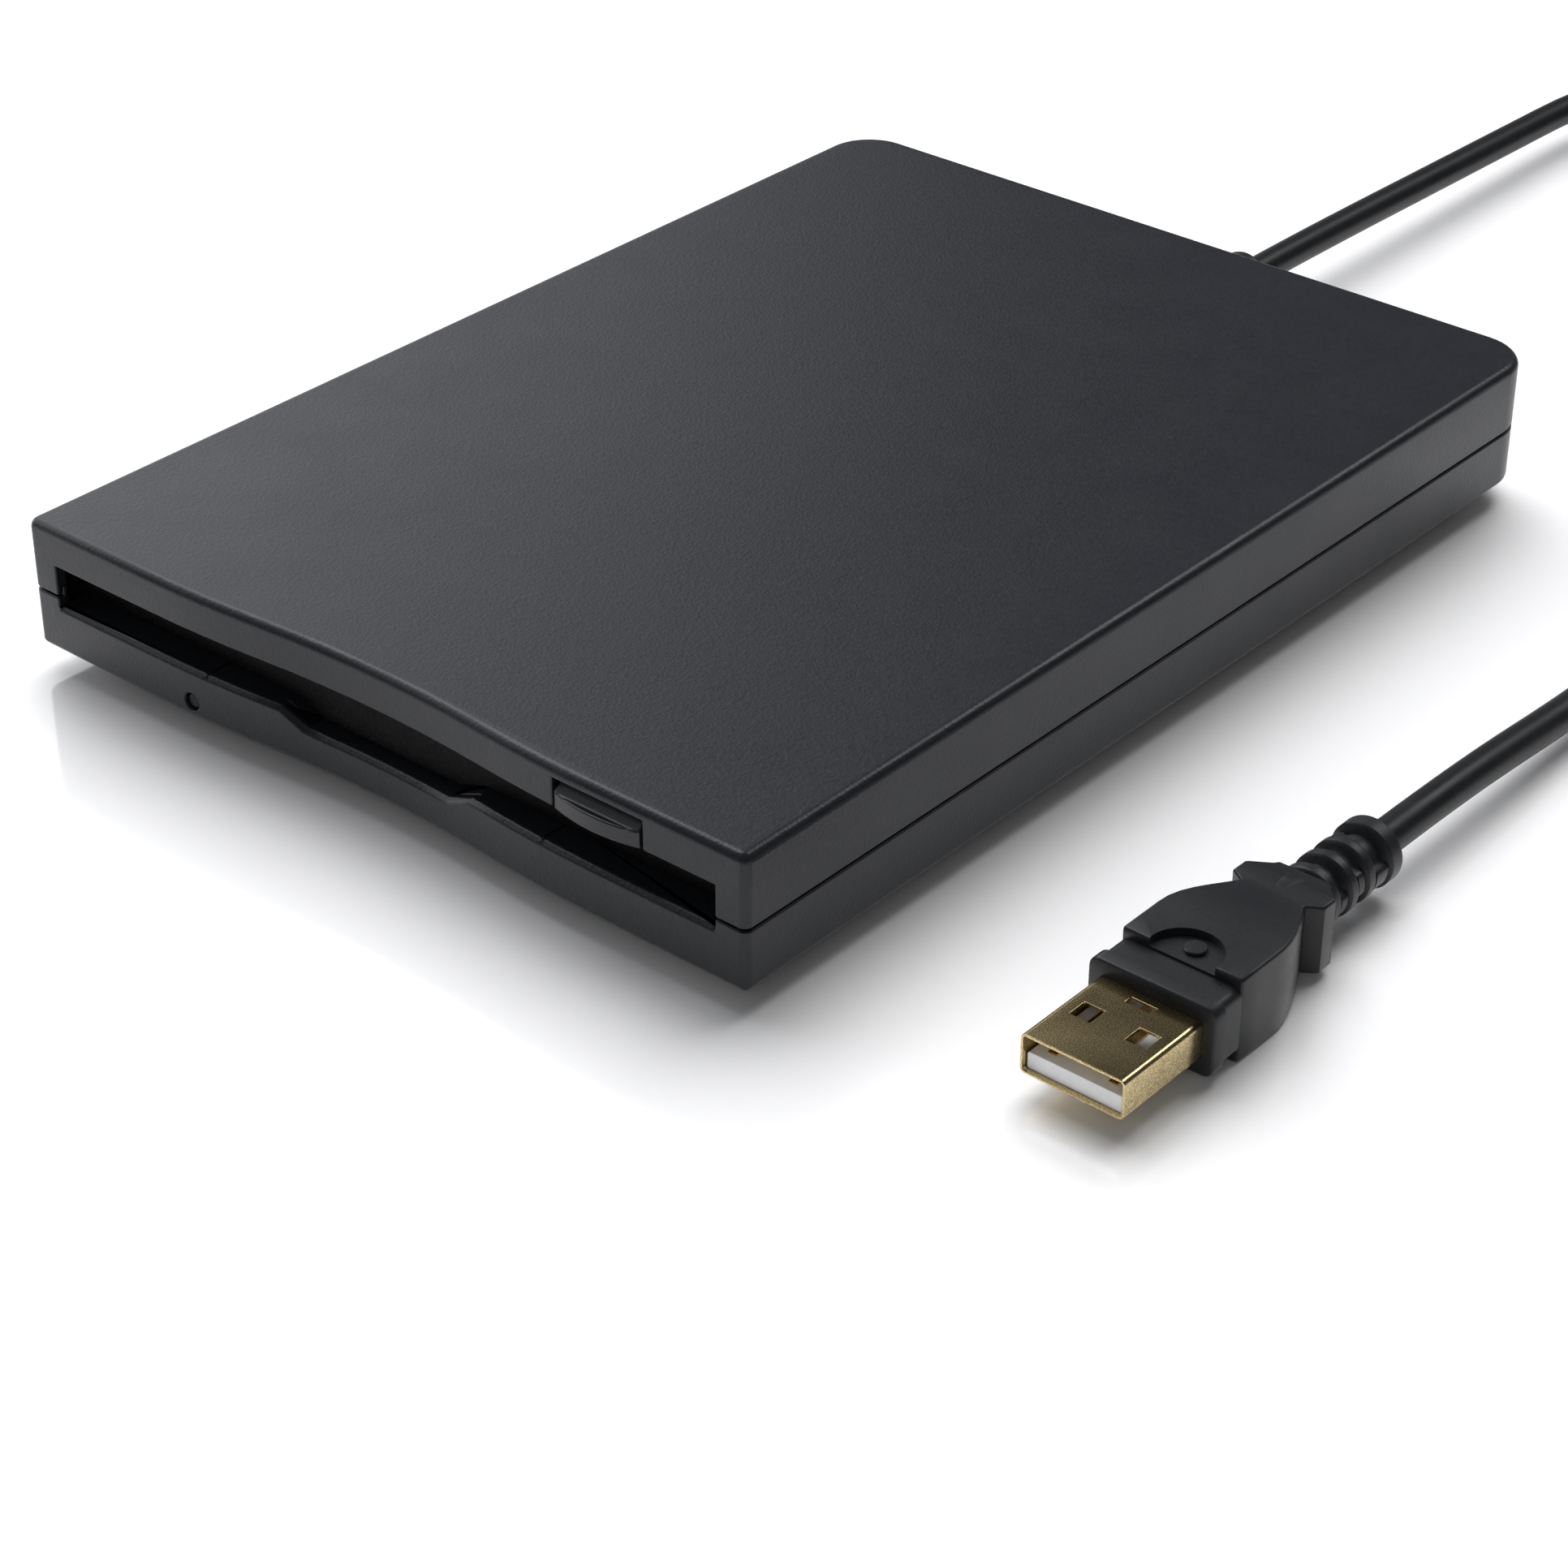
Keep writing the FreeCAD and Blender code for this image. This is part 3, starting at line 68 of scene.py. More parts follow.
# the case's front in millimetres: its face, the finger notch's floor and flanks, and the wave
FRONT = -71.6
NOTCH_LOW, NOTCH_RISE, NOTCH_HALF, NOTCH_RAMP = 7.35, 1.55, 10.4, 3.6
WAVE_HALF, WAVE_DEPTH, WAVE_RADIUS = 32, 1.5, 171.04

# the slot in millimetres: its sill, half the lower lip's length and the seam grooves
SILL_HIGH, LIP_HALF = 8.9, 47.9
SEAM_SIDE, SEAM_HALF = 24.6, 0.11

# places in millimetres: the middle of the plug shell's mouth, and the strain relief's root
PLUG = (85.2, -64.0, 4.9)
RELIEF = (0, 72.4, 7)

# ringed sleeves of the plug and the strain relief, in millimetres and in points round
SLEEVE_CORE, SLEEVE_STEP, SLEEVE_ROUND = 2.6, 0.14, 72
# how a ring's flank rises, and the bridges between rings: their sides, their drop and their turn
RING_FLANK, BRIDGE_SIDES, BRIDGE_DROP, BRIDGE_TURN, BRIDGE_SHIFT = (-0.05, 0.5), (0.3, 0.62), 0.28, -0.1, 0.35

# modelling: merging distance in metres, flat and sharp angles in degrees
MERGE_REACH, FLAT_ANGLE, SHARP_ANGLE = 2e-6, 0.6, 30

# the floor in metres, its gloss, and where the surroundings glow
FLOOR_HALF, FLOOR_LOW = 1.1, -0.0001
FLOOR_ROUGHNESS, FLOOR_IOR = 0.09, 2.1
GLOW_TOWARDS, GLOW_STARTS, GLOW_FULL = (-0.93, 0.08, 0.34), 0.7, 0.92
GLOW_TINT, BACKDROP = (0.96, 0.97, 1, 1), 0.95

# name, setting that holds the power, size and place in metres, and whether it shows in gloss alone
STAGE_LIGHTS = (
    ("key_softbox", "key", 1.6, (-0.45, 0.62, 1.25), False),
    ("front_fill", "fill", 1.0, (0.7, -1.1, 0.6), False),
    ("front_edge_light", "edge", 0.5, (-0.64, 0.0, 1.0), True),
    ("side_edge_light", "edge", 0.5, (0.2, 0.85, 0.9), True),
)

# roughness runs from smooth to rough; the cells and depth of a pattern are in millimetres
MARKS_CELL, COAT_ROUGHNESS = 9, 0.15
Finish = namedtuple("Finish", "colour second smooth rough metallic specular coat pattern cell depth")
FINISHES = {
    "case_plastic": Finish(
        (0.0092, 0.0104, 0.0132), (0.0124, 0.0139, 0.0176), 0.3, 0.36, 0, 0.4, 0, "leather", 0.36, 0.017),
    "door_plastic": Finish(
        (0.0008, 0.0008, 0.001), (0.006, 0.006, 0.0066), 0.5, 0.65, 0, 0.12, 0, "speckle", 0.34, 0.03),
    "button_plastic": Finish(
        (0.0102, 0.0109, 0.013), (0.0134, 0.0143, 0.017), 0.28, 0.34, 0, 0.45, 0, "speckle", 0.35, 0.006),
    "foot_rubber": Finish(
        (0.02, 0.02, 0.021), (0.035, 0.035, 0.036), 0.7, 0.85, 0, 0.3, 0, "speckle", 0.4, 0.02),
    "screw_steel": Finish(
        (0.45, 0.45, 0.46), (0.62, 0.62, 0.6), 0.25, 0.4, 1, 0.5, 0, "brushed", 0.2, 0.004),
    "lens_plastic": Finish(
        (0.004, 0.005, 0.0045), (0.006, 0.008, 0.007), 0.3, 0.36, 0, 0.25, 0, "speckle", 0.8, 0.001),
    "cord_vinyl": Finish(
        (0.0066, 0.0071, 0.0082), (0.0096, 0.0103, 0.0118), 0.34, 0.42, 0, 0.35, 0, "speckle", 0.9, 0.006),
    "mould_vinyl": Finish(
        (0.0085, 0.009, 0.0105), (0.012, 0.0126, 0.0144), 0.34, 0.46, 0, 0.45, 0, "speckle", 0.32, 0.008),
    "shell_plate": Finish(
        (0.42, 0.3, 0.11), (0.9, 0.76, 0.46), 0.16, 0.26, 1, 0.5, 0, "speckle", 0.14, 0.006),
    "insulator_plastic": Finish(
        (0.9, 0.9, 0.91), (0.94, 0.94, 0.95), 0.3, 0.42, 0, 0.5, 0, "speckle", 0.6, 0.004),
    "contact_gold": Finish(
        (0.72, 0.5, 0.2), (0.9, 0.68, 0.32), 0.2, 0.32, 1, 0.5, 0, "brushed", 0.15, 0.002),
    "zinc_sheet": Finish(
        (0.5, 0.52, 0.53), (0.68, 0.69, 0.7), 0.3, 0.5, 1, 0.5, 0, "leather", 2.2, 0.004),
    "bright_steel": Finish(
        (0.6, 0.6, 0.61), (0.75, 0.75, 0.75), 0.14, 0.26, 1, 0.5, 0, "brushed", 0.25, 0.003),
    "copper_coil": Finish(
        (0.42, 0.16, 0.06), (0.7, 0.32, 0.14), 0.25, 0.4, 1, 0.5, 0.3, "brushed", 0.3, 0.03),
    "inner_plastic": Finish(
        (0.04, 0.04, 0.042), (0.06, 0.06, 0.062), 0.4, 0.55, 0, 0.4, 0, "speckle", 0.4, 0.008),
    "head_ceramic": Finish(
        (0.68, 0.67, 0.62), (0.8, 0.79, 0.74), 0.12, 0.22, 0, 0.5, 0.4, "speckle", 0.3, 0.002),
    "board_green": Finish(
        (0.015, 0.11, 0.045), (0.03, 0.17, 0.07), 0.25, 0.4, 0, 0.5, 0.3, "speckle", 0.9, 0.01),
    "chip_black": Finish(
        (0.02, 0.02, 0.021), (0.032, 0.032, 0.033), 0.45, 0.6, 0, 0.4, 0, "speckle", 0.25, 0.01),
    "flex_film": Finish(
        (0.45, 0.2, 0.04), (0.62, 0.3, 0.07), 0.2, 0.34, 0, 0.5, 0.3, "brushed", 0.6, 0.01),
    "lead_vinyl": Finish(
        (0.35, 0.03, 0.025), (0.45, 0.05, 0.04), 0.3, 0.42, 0, 0.5, 0, "speckle", 0.5, 0.006),
    "tie_band": Finish(
        (0.012, 0.012, 0.013), (0.022, 0.022, 0.023), 0.4, 0.55, 0, 0.4, 0, "brushed", 0.3, 0.02),
}


class DriveSizes(bpy.types.PropertyGroup):
    """Sizes that a user may change."""
    edge_round: FloatProperty(
        name="Edge round", description="Round on the case's moulded edges", default=0.00024, unit="LENGTH")
    cord_diameter: FloatProperty(
        name="Cord diameter", description="Outside diameter of the cord", default=0.004, unit="LENGTH")
    cord_length: FloatProperty(
        name="Cord length", description="Length of the cord from the case to the plug",
        default=0.79, unit="LENGTH")
    coil_radius: FloatProperty(
        name="Coil radius", description="Radius of the coil's outer turn", default=0.0255, unit="LENGTH")
    coil_pitch: FloatProperty(
        name="Coil pitch", description="Distance between neighbouring turns", default=0.0046, unit="LENGTH")
    coil_points: IntProperty(
        name="Coil points", description="Route points in each turn of the coil",
        default=18, min=12, max=36)
    foot_radius: FloatProperty(
        name="Foot radius", description="Radius of a rubber foot", default=0.0045, unit="LENGTH")


class DriveColours(bpy.types.PropertyGroup):
    """Colours that a user may change."""
    case: FloatVectorProperty(
        name="Case", description="Colour of the moulded case", default=FINISHES["case_plastic"].colour,
        size=3, min=0, max=1, subtype="COLOR")
    plug_shell: FloatVectorProperty(
        name="Plug shell", description="Colour of the plated shell's hollows",
        default=FINISHES["shell_plate"].colour, size=3, min=0, max=1, subtype="COLOR")
    cord: FloatVectorProperty(
        name="Cord", description="Colour of the cord", default=FINISHES["cord_vinyl"].colour,
        size=3, min=0, max=1, subtype="COLOR")
    floor: FloatVectorProperty(
        name="Floor", description="Colour of the floor", default=(0.83, 0.83, 0.84),
        size=3, min=0, max=1, subtype="COLOR")


class StageLights(bpy.types.PropertyGroup):
    """Lights that a user may change."""
    key: FloatProperty(
        name="Key", description="Power of the softbox above and behind the object",
        default=46.0, unit="POWER")
    edge: FloatProperty(
        name="Edge", description="Power of each of the two lights that only the edges reflect",
        default=2.6, unit="POWER")
    fill: FloatProperty(
        name="Fill", description="Power of the faint softbox in front of the object",
        default=4.0, unit="POWER")
    surround: FloatProperty(
        name="Surround", description="Brightness of the surroundings on their dark side",
        default=0.07, min=0, max=5)
    left_glow: FloatProperty(
        name="Left glow", description="Brightness of the surroundings on the left",
        default=1.8, min=0, max=5)


# where a mix of two colours has its sockets; their names alone would stand for another kind
MIX_FIRST, MIX_SECOND, MIX_RESULT = 6, 7, 2


# shader groups that several finishes share
def new_group(name, outputs):
    """A node group that takes a place and a cell size, and its two end nodes."""
    tree = bpy.data.node_groups.new(name, "ShaderNodeTree")
    for label, kind in (("Place", "NodeSocketVector"), ("Cell", "NodeSocketFloat")):
        tree.interface.new_socket(label, in_out="INPUT", socket_type=kind)
    for label in outputs:
        tree.interface.new_socket(label, in_out="OUTPUT", socket_type="NodeSocketFloat")
    return tree, tree.nodes.new("NodeGroupInput"), tree.nodes.new("NodeGroupOutput")


def scaled_place(tree, start, stretch=None):
    """Object coordinates counted in cells, and stretched if asked."""
    inverse = tree.nodes.new("ShaderNodeMath")
    inverse.operation = "DIVIDE"
    inverse.inputs[0].default_value = 1
    tree.links.new(start.outputs["Cell"], inverse.inputs[1])
    grow = tree.nodes.new("ShaderNodeVectorMath")
    grow.operation = "SCALE"
    tree.links.new(start.outputs["Place"], grow.inputs[0])
    tree.links.new(inverse.outputs[0], grow.inputs["Scale"])
    if stretch is None:
        return grow.outputs[0]
    draw = tree.nodes.new("ShaderNodeVectorMath")
    draw.operation = "MULTIPLY"
    draw.inputs[1].default_value = stretch
    tree.links.new(grow.outputs[0], draw.inputs[0])
    return draw.outputs[0]


def noise_of(tree, place, scale, detail):
    """A noise texture at a place."""
    noise = tree.nodes.new("ShaderNodeTexNoise")
    noise.inputs["Scale"].default_value = scale
    noise.inputs["Detail"].default_value = detail
    tree.links.new(place, noise.inputs["Vector"])
    return noise


def stretched_tone(tree, value, low, high):
    """A value spread from low..high to 0..1."""
    spread = tree.nodes.new("ShaderNodeMapRange")
    spread.inputs["From Min"].default_value = low
    spread.inputs["From Max"].default_value = high
    tree.links.new(value, spread.inputs["Value"])
    return spread.outputs["Result"]


def leather_group():
    """Fine moulded grain of small wandering cells."""
    tree, start, end = new_group("Leather grain", ["Height", "Tone"])
    place = scaled_place(tree, start)
    wander = noise_of(tree, place, 0.7, 2)
    add = tree.nodes.new("ShaderNodeVectorMath")
    add.operation = "ADD"
    tree.links.new(place, add.inputs[0])
    tree.links.new(wander.outputs["Color"], add.inputs[1])
    cells = tree.nodes.new("ShaderNodeTexVoronoi")
    cells.feature = "SMOOTH_F1"
    cells.inputs["Scale"].default_value = 1
    cells.inputs["Smoothness"].default_value = 0.35
    tree.links.new(add.outputs[0], cells.inputs["Vector"])
    tree.links.new(cells.outputs["Distance"], end.inputs["Height"])
    cloud = noise_of(tree, place, 0.45, 3)
    tree.links.new(stretched_tone(tree, cloud.outputs["Fac"], 0.3, 0.7), end.inputs["Tone"])
    return tree


def speckle_group():
    """Fine blasted or moulded speckle."""
    tree, start, end = new_group("Fine speckle", ["Height", "Tone"])
    place = scaled_place(tree, start)
    grit = noise_of(tree, place, 1.0, 2)
    tree.links.new(grit.outputs["Fac"], end.inputs["Height"])
    tree.links.new(stretched_tone(tree, grit.outputs["Fac"], 0.38, 0.66), end.inputs["Tone"])
    return tree


def brushed_group():
    """Fine lines drawn along one direction."""
    tree, start, end = new_group("Drawn lines", ["Height", "Tone"])
    lines = noise_of(tree, scaled_place(tree, start, (0.06, 1, 1)), 1.0, 3)
    tree.links.new(lines.outputs["Fac"], end.inputs["Height"])
    tree.links.new(stretched_tone(tree, lines.outputs["Fac"], 0.3, 0.7), end.inputs["Tone"])
    return tree


def marks_group():
    """Broad, faint marks of handling."""
    tree, start, end = new_group("Handling marks", ["Mask"])
    cloud = noise_of(tree, scaled_place(tree, start), 1.0, 5)
    tree.links.new(stretched_tone(tree, cloud.outputs["Fac"], 0.3, 0.7), end.inputs["Mask"])
    return tree


PATTERNS = {
    "leather": leather_group, "speckle": speckle_group, "brushed": brushed_group, "marks": marks_group}


def pattern_node(tree, kind, place, cell):
    """A node that runs a shared pattern."""
    label = "drive_" + kind
    group = bpy.data.node_groups.get(label)
    if group is None:
        group = PATTERNS[kind]()
        group.name = label
    node = tree.nodes.new("ShaderNodeGroup")
    node.node_tree = group
    node.inputs["Cell"].default_value = cell
    tree.links.new(place, node.inputs["Place"])
    return node


def finish_for(slot):
    """The material of a slot, made once."""
    label = slot + "_finish"
    ready = bpy.data.materials.get(label)
    if ready is not None:
        return ready
    finish = FINISHES[slot]
    colours = bpy.context.scene.drive_colours
    chosen = {"case_plastic": colours.case, "shell_plate": colours.plug_shell, "cord_vinyl": colours.cord}
    first = chosen.get(slot, finish.colour)
    material = bpy.data.materials.new(label)
    material.use_nodes = True
    tree = material.node_tree
    shader = tree.nodes["Principled BSDF"]
    place = tree.nodes.new("ShaderNodeTexCoord").outputs["Object"]
    grain = pattern_node(tree, finish.pattern, place, finish.cell * MM)
    marks = pattern_node(tree, "marks", place, MARKS_CELL * MM)
    mix = tree.nodes.new("ShaderNodeMix")
    mix.data_type = "RGBA"
    mix.inputs[MIX_FIRST].default_value = (*first, 1)
    mix.inputs[MIX_SECOND].default_value = (*finish.second, 1)
    tree.links.new(grain.outputs["Tone"], mix.inputs[0])
    tree.links.new(mix.outputs[MIX_RESULT], shader.inputs["Base Color"])
    spread = tree.nodes.new("ShaderNodeMapRange")
    spread.inputs["To Min"].default_value = finish.smooth
    spread.inputs["To Max"].default_value = finish.rough
    tree.links.new(marks.outputs["Mask"], spread.inputs["Value"])
    tree.links.new(spread.outputs["Result"], shader.inputs["Roughness"])
    bump = tree.nodes.new("ShaderNodeBump")
    bump.inputs["Distance"].default_value = finish.depth * MM
    tree.links.new(grain.outputs["Height"], bump.inputs["Height"])
    tree.links.new(bump.outputs["Normal"], shader.inputs["Normal"])
    shader.inputs["Metallic"].default_value = finish.metallic
    shader.inputs["Specular IOR Level"].default_value = finish.specular
    shader.inputs["Coat Weight"].default_value = finish.coat
    shader.inputs["Coat Roughness"].default_value = COAT_ROUGHNESS
    return material


# meshes
def mesh_object(name, points, faces):
    """A new object at the origin with its place in its mesh."""
    mesh = bpy.data.meshes.new(name)
    mesh.from_pydata(points, [], faces)
    mesh.validate()
    obj = bpy.data.objects.new(name, mesh)
    bpy.context.scene.collection.objects.link(obj)
    return obj


def shade(obj, angle):
    """Smooth shading that breaks at edges sharper than the angle."""
    for face in obj.data.polygons:
        face.use_smooth = True
    obj.data.set_sharp_from_angle(angle=math.radians(angle))


def settle(obj):
    """Works the object's modifiers into a plain mesh."""
    mesh = bpy.data.meshes.new_from_object(obj.evaluated_get(bpy.context.evaluated_depsgraph_get()))
    mesh.name = obj.name
    old = obj.data
    obj.modifiers.clear()
    obj.data = mesh
    bpy.data.meshes.remove(old)


def round_edges(obj, width, segments=2):
    """Puts small rounds on the object's sharp edges."""
    for face in obj.data.polygons:
        face.use_smooth = True
    bevel = obj.modifiers.new("edge_round", "BEVEL")
    bevel.width = width
    bevel.segments = segments
    bevel.limit_method = "ANGLE"
    bevel.angle_limit = math.radians(SHARP_ANGLE)
    bevel.use_clamp_overlap = False
    bevel.harden_normals = True
    settle(obj)


def combine(obj, other, operation="DIFFERENCE"):
    """Takes the other form out of the object, or joins it on."""
    step = obj.modifiers.new("combine", "BOOLEAN")
    step.operation = operation
    step.solver = "EXACT"
    step.object = other
    settle(obj)
    bpy.data.objects.remove(other)


def merge_faces(obj):
    """Merges the object's points and makes its flat faces whole."""
    shape = bmesh.new()
    shape.from_mesh(obj.data)
    bmesh.ops.remove_doubles(shape, verts=shape.verts, dist=MERGE_REACH)
    bmesh.ops.dissolve_limit(
        shape, angle_limit=math.radians(FLAT_ANGLE), verts=shape.verts, edges=shape.edges)
    bmesh.ops.recalc_face_normals(shape, faces=shape.faces)
    shape.to_mesh(obj.data)
    shape.free()


def moulded_copy(node):
    """A copy of a solid's own mesh with whole faces."""
    mesh = NODES[node].data
    points = [v.co[:] for v in mesh.vertices]
    obj = mesh_object(node + "_moulded", points, [p.vertices[:] for p in mesh.polygons])
    merge_faces(obj)
    return obj


def box_mesh(name, low, high):
    """A closed box between two corners."""
    points = [(x, y, z) for x in (low[0], high[0]) for y in (low[1], high[1]) for z in (low[2], high[2])]
    faces = [(0, 1, 3, 2), (4, 6, 7, 5), (0, 4, 5, 1), (2, 3, 7, 6), (0, 2, 6, 4), (1, 5, 7, 3)]
    return mesh_object(name, points, faces)


def loft(name, rings):
    """A closed skin over rings of equal point count, with flat ends."""
    count = len(rings[0])
    points = [p for ring in rings for p in ring]
    faces = []
    for start in range(0, len(points) - count, count):
        for i in range(count):
            after = (i + 1) % count
            faces.append((start + i, start + after, start + count + after, start + count + i))
    faces.append(list(range(count)))
    faces.append(list(range(len(points) - count, len(points)))[::-1])
    obj = mesh_object(name, points, faces)
    shape = bmesh.new()
    shape.from_mesh(obj.data)
    bmesh.ops.recalc_face_normals(shape, faces=shape.faces)
    shape.to_mesh(obj.data)
    shape.free()
    return obj


def in_metres(pairs):
    """Pairs of millimetres in metres."""
    return [(a * MM, b * MM) for a, b in pairs]


def turned(name, profile, centre=(0, 0, 0), segments=48):
    """A form turned round a line that points up, from pairs of radius and height in metres."""
    rings = []
    for radius, height in profile:
        ring = []
        for i in range(segments):
            turn = 2 * math.pi * i / segments
            x, y = radius * math.cos(turn), radius * math.sin(turn)
            ring.append((centre[0] + x, centre[1] + y, centre[2] + height))
        rings.append(ring)
    return loft(name, rings)


def joined(name, objects):
    """One object from several closed ones."""
    points, faces = [], []
    for obj in objects:
        first = len(points)
        points += [v.co[:] for v in obj.data.vertices]
        faces += [[first + i for i in p.vertices] for p in obj.data.polygons]
        bpy.data.objects.remove(obj)
    return mesh_object(name, points, faces)


def wear(obj, body, slot, *nodes):
    """Gives a finished piece the material of its slot and its body, and hides the solids it stands for."""
    obj.data.materials.clear()
    obj.data.materials.append(finish_for(slot))
    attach(obj, body)
    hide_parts(*nodes)


def dress(node, body, width, segments=2):
    """Puts a copy with rounded edges and its finish in a solid's place."""
    obj = moulded_copy(node)
    round_edges(obj, width, segments)
    wear(obj, body, SLOT_OF[node], node)


# geometry nodes for what repeats
def repeat_tree():
    """The node tree that sets a piece in rows and columns, made once."""
    tree = bpy.data.node_groups.get("drive_repeat")
    if tree is not None:
        return tree
    tree = bpy.data.node_groups.new("drive_repeat", "GeometryNodeTree")
    tree.is_modifier = True
    sockets = [
        ("Geometry", "NodeSocketGeometry"), ("Start", "NodeSocketVector"),
        ("Across", "NodeSocketVector"), ("Across count", "NodeSocketInt"),
        ("Back", "NodeSocketVector"), ("Back count", "NodeSocketInt"), ("Finish", "NodeSocketMaterial")]
    for label, kind in sockets:
        tree.interface.new_socket(label, in_out="INPUT", socket_type=kind)
    tree.interface.new_socket("Geometry", in_out="OUTPUT", socket_type="NodeSocketGeometry")
    start = tree.nodes.new("NodeGroupInput")
    end = tree.nodes.new("NodeGroupOutput")
    shape = start.outputs["Geometry"]
    for place, step, count in (("Start", "Across", "Across count"), (None, "Back", "Back count")):
        line = tree.nodes.new("GeometryNodeMeshLine")
        tree.links.new(start.outputs[count], line.inputs["Count"])
        tree.links.new(start.outputs[step], line.inputs["Offset"])
        if place:
            tree.links.new(start.outputs[place], line.inputs["Start Location"])
        copies = tree.nodes.new("GeometryNodeInstanceOnPoints")
        tree.links.new(line.outputs["Mesh"], copies.inputs["Points"])
        tree.links.new(shape, copies.inputs["Instance"])
        shape = copies.outputs["Instances"]
    whole = tree.nodes.new("GeometryNodeRealizeInstances")
    paint = tree.nodes.new("GeometryNodeSetMaterial")
    tree.links.new(shape, whole.inputs["Geometry"])
    tree.links.new(whole.outputs["Geometry"], paint.inputs["Geometry"])
    tree.links.new(start.outputs["Finish"], paint.inputs["Material"])
    tree.links.new(paint.outputs["Geometry"], end.inputs["Geometry"])
    return tree


def repeat(obj, slot, **sizes):
    """Repeats the object over rows and columns, as one plain mesh."""
    tree = repeat_tree()
    step = obj.modifiers.new("repeat", "NODES")
    step.node_group = tree
    values = {name.replace("_", " "): value for name, value in sizes.items()}
    values["Finish"] = finish_for(slot)
    for item in tree.interface.items_tree:
        if item.in_out == "INPUT" and item.name in values:
            step[item.identifier] = values[item.name]
    settle(obj)


# the pieces, and an operator for each group of them
class DRIVE_OT_camera(bpy.types.Operator):
    """Place the camera where the picture was taken from"""
    bl_idname = "drive.camera"
    bl_label = "Camera"

    def execute(self, context):
        data = bpy.data.cameras.new("camera")
        data.lens = CAMERA_LENS
        data.sensor_width = CAMERA_SENSOR
        data.clip_start = 0.01
        camera = bpy.data.objects.new("camera", data)
        turn = (Matrix.Rotation(math.radians(CAMERA_ROUND), 4, "Z")
                @ Matrix.Rotation(math.radians(90 - CAMERA_DOWN), 4, "X")
                @ Matrix.Rotation(math.radians(CAMERA_TILT), 4, "Z"))
        camera.matrix_world = Matrix.Translation(CAMERA_PLACE) @ turn
        context.scene.collection.objects.link(camera)
        context.scene.camera = camera
        return {"FINISHED"}


def coil_point(sizes, swept):
    """Place on the coil after so many degrees: in on the lower layer, up, and out on the upper one."""
    rate = sizes.coil_pitch / 360
    wait = (COIL_SWEEP - COIL_CLIMB) / 2
    if swept <= wait:
        inward, height = rate * swept, COIL_LOW
    elif swept >= wait + COIL_CLIMB:
        inward, height = rate * (COIL_SWEEP - swept), COIL_LOW + sizes.coil_pitch
    else:
        part = (swept - wait) / COIL_CLIMB
        inward = rate * (wait + COIL_CLIMB * part * (1 - part))
        height = COIL_LOW + sizes.coil_pitch * (1 - math.cos(math.pi * part)) / 2
    reach = sizes.coil_radius - inward
    turn = math.radians(COIL_START - swept)
    return Vector((COIL_X + reach * math.cos(turn), COIL_Y + reach * math.sin(turn), height))


def cord_route(sizes):
    """The cord's route from the case to the plug; it runs straight into the coil and out of it."""
    nudge, lead, lead_in, lead_out = 0.01, 0.004, 0.012, 0.014
    start, end = coil_point(sizes, 0), coil_point(sizes, COIL_SWEEP)
    into = (coil_point(sizes, nudge) - start).normalized()
    out = (end - coil_point(sizes, COIL_SWEEP - nudge)).normalized()
    coil_in, coil_out = start - into * lead, end + out * lead
    from_case = [Vector(p) * MM for p in ((0, 88, 7), (0, 101, 7), (0, 140, 5.9), (0, 188.6, 4.6))]
    turns = round(COIL_SWEEP / 360 * sizes.coil_points)
    coil = [coil_point(sizes, COIL_SWEEP * i / turns) for i in range(turns + 1)]
    to_plug = [Vector(p) * MM for p in ((75.6, 132, 3.2), (79, 92, 2.1), (85, 56, 2.1), (85.2, 28, 2.9),
                                        (85.2, 3, 4.9), (85.2, -13, 4.9))]
    before, after = [coil_in - into * lead_in, coil_in], [coil_out, coil_out + out * lead_out]
    return from_case + before + coil + after + to_plug


class DRIVE_OT_cord(bpy.types.Operator):
    """Lay the cord from the case through its coil to the plug"""
    bl_idname = "drive.cord"
    bl_label = "Cord"

    def execute(self, context):
        sizes = context.scene.drive_sizes
        route = cord_route(sizes)
        curve = bpy.data.curves.new("cord", "CURVE")
        curve.dimensions = "3D"
        curve.resolution_u = 10
        line = curve.splines.new("NURBS")
        line.points.add(len(route) - 1)
        for point, place in zip(line.points, route):
            point.co = (*place, 1)
        line.order_u = 3
        line.use_endpoint_u = True
        curve.bevel_depth = sizes.cord_diameter / 2
        curve.bevel_resolution = 7
        curve.use_fill_caps = True
        cord = bpy.data.objects.new("cord", curve)
        context.scene.collection.objects.link(cord)
        wear(cord, "case", "cord_vinyl", "cord_to_coil", "cord_coil", "cord_to_plug")
        return {"FINISHED"}


def wave_in(x):
    """How far the waved front stands back at x, in millimetres."""
    x = abs(x)
    if x < WAVE_HALF / 2:
        return WAVE_DEPTH - WAVE_RADIUS + math.sqrt(WAVE_RADIUS ** 2 - x ** 2)
    return WAVE_RADIUS - math.sqrt(WAVE_RADIUS ** 2 - (WAVE_HALF - min(x, WAVE_HALF)) ** 2)


def sill_fill(side):
    """Closes the slot's sill between the waved wall and its straight ledge."""
    start, end, inside, ledge, low = 14.2, 32.2, FRONT + 1, -68.4, 6.4
    line = [start + 1.5 * i for i in range(13)]
    plan = [(x, inside + wave_in(x)) for x in line] + [(end, ledge), (start, ledge)]
    return loft("sill", [[(side * x * MM, y * MM, z * MM) for x, y in plan] for z in (low, SILL_HIGH)])


def lip_height(x):
    """Height of the slot's lower lip at x, with the finger notch, in millimetres."""
    return NOTCH_LOW + NOTCH_RISE * min(max((abs(x) - NOTCH_HALF) / NOTCH_RAMP, 0), 1)


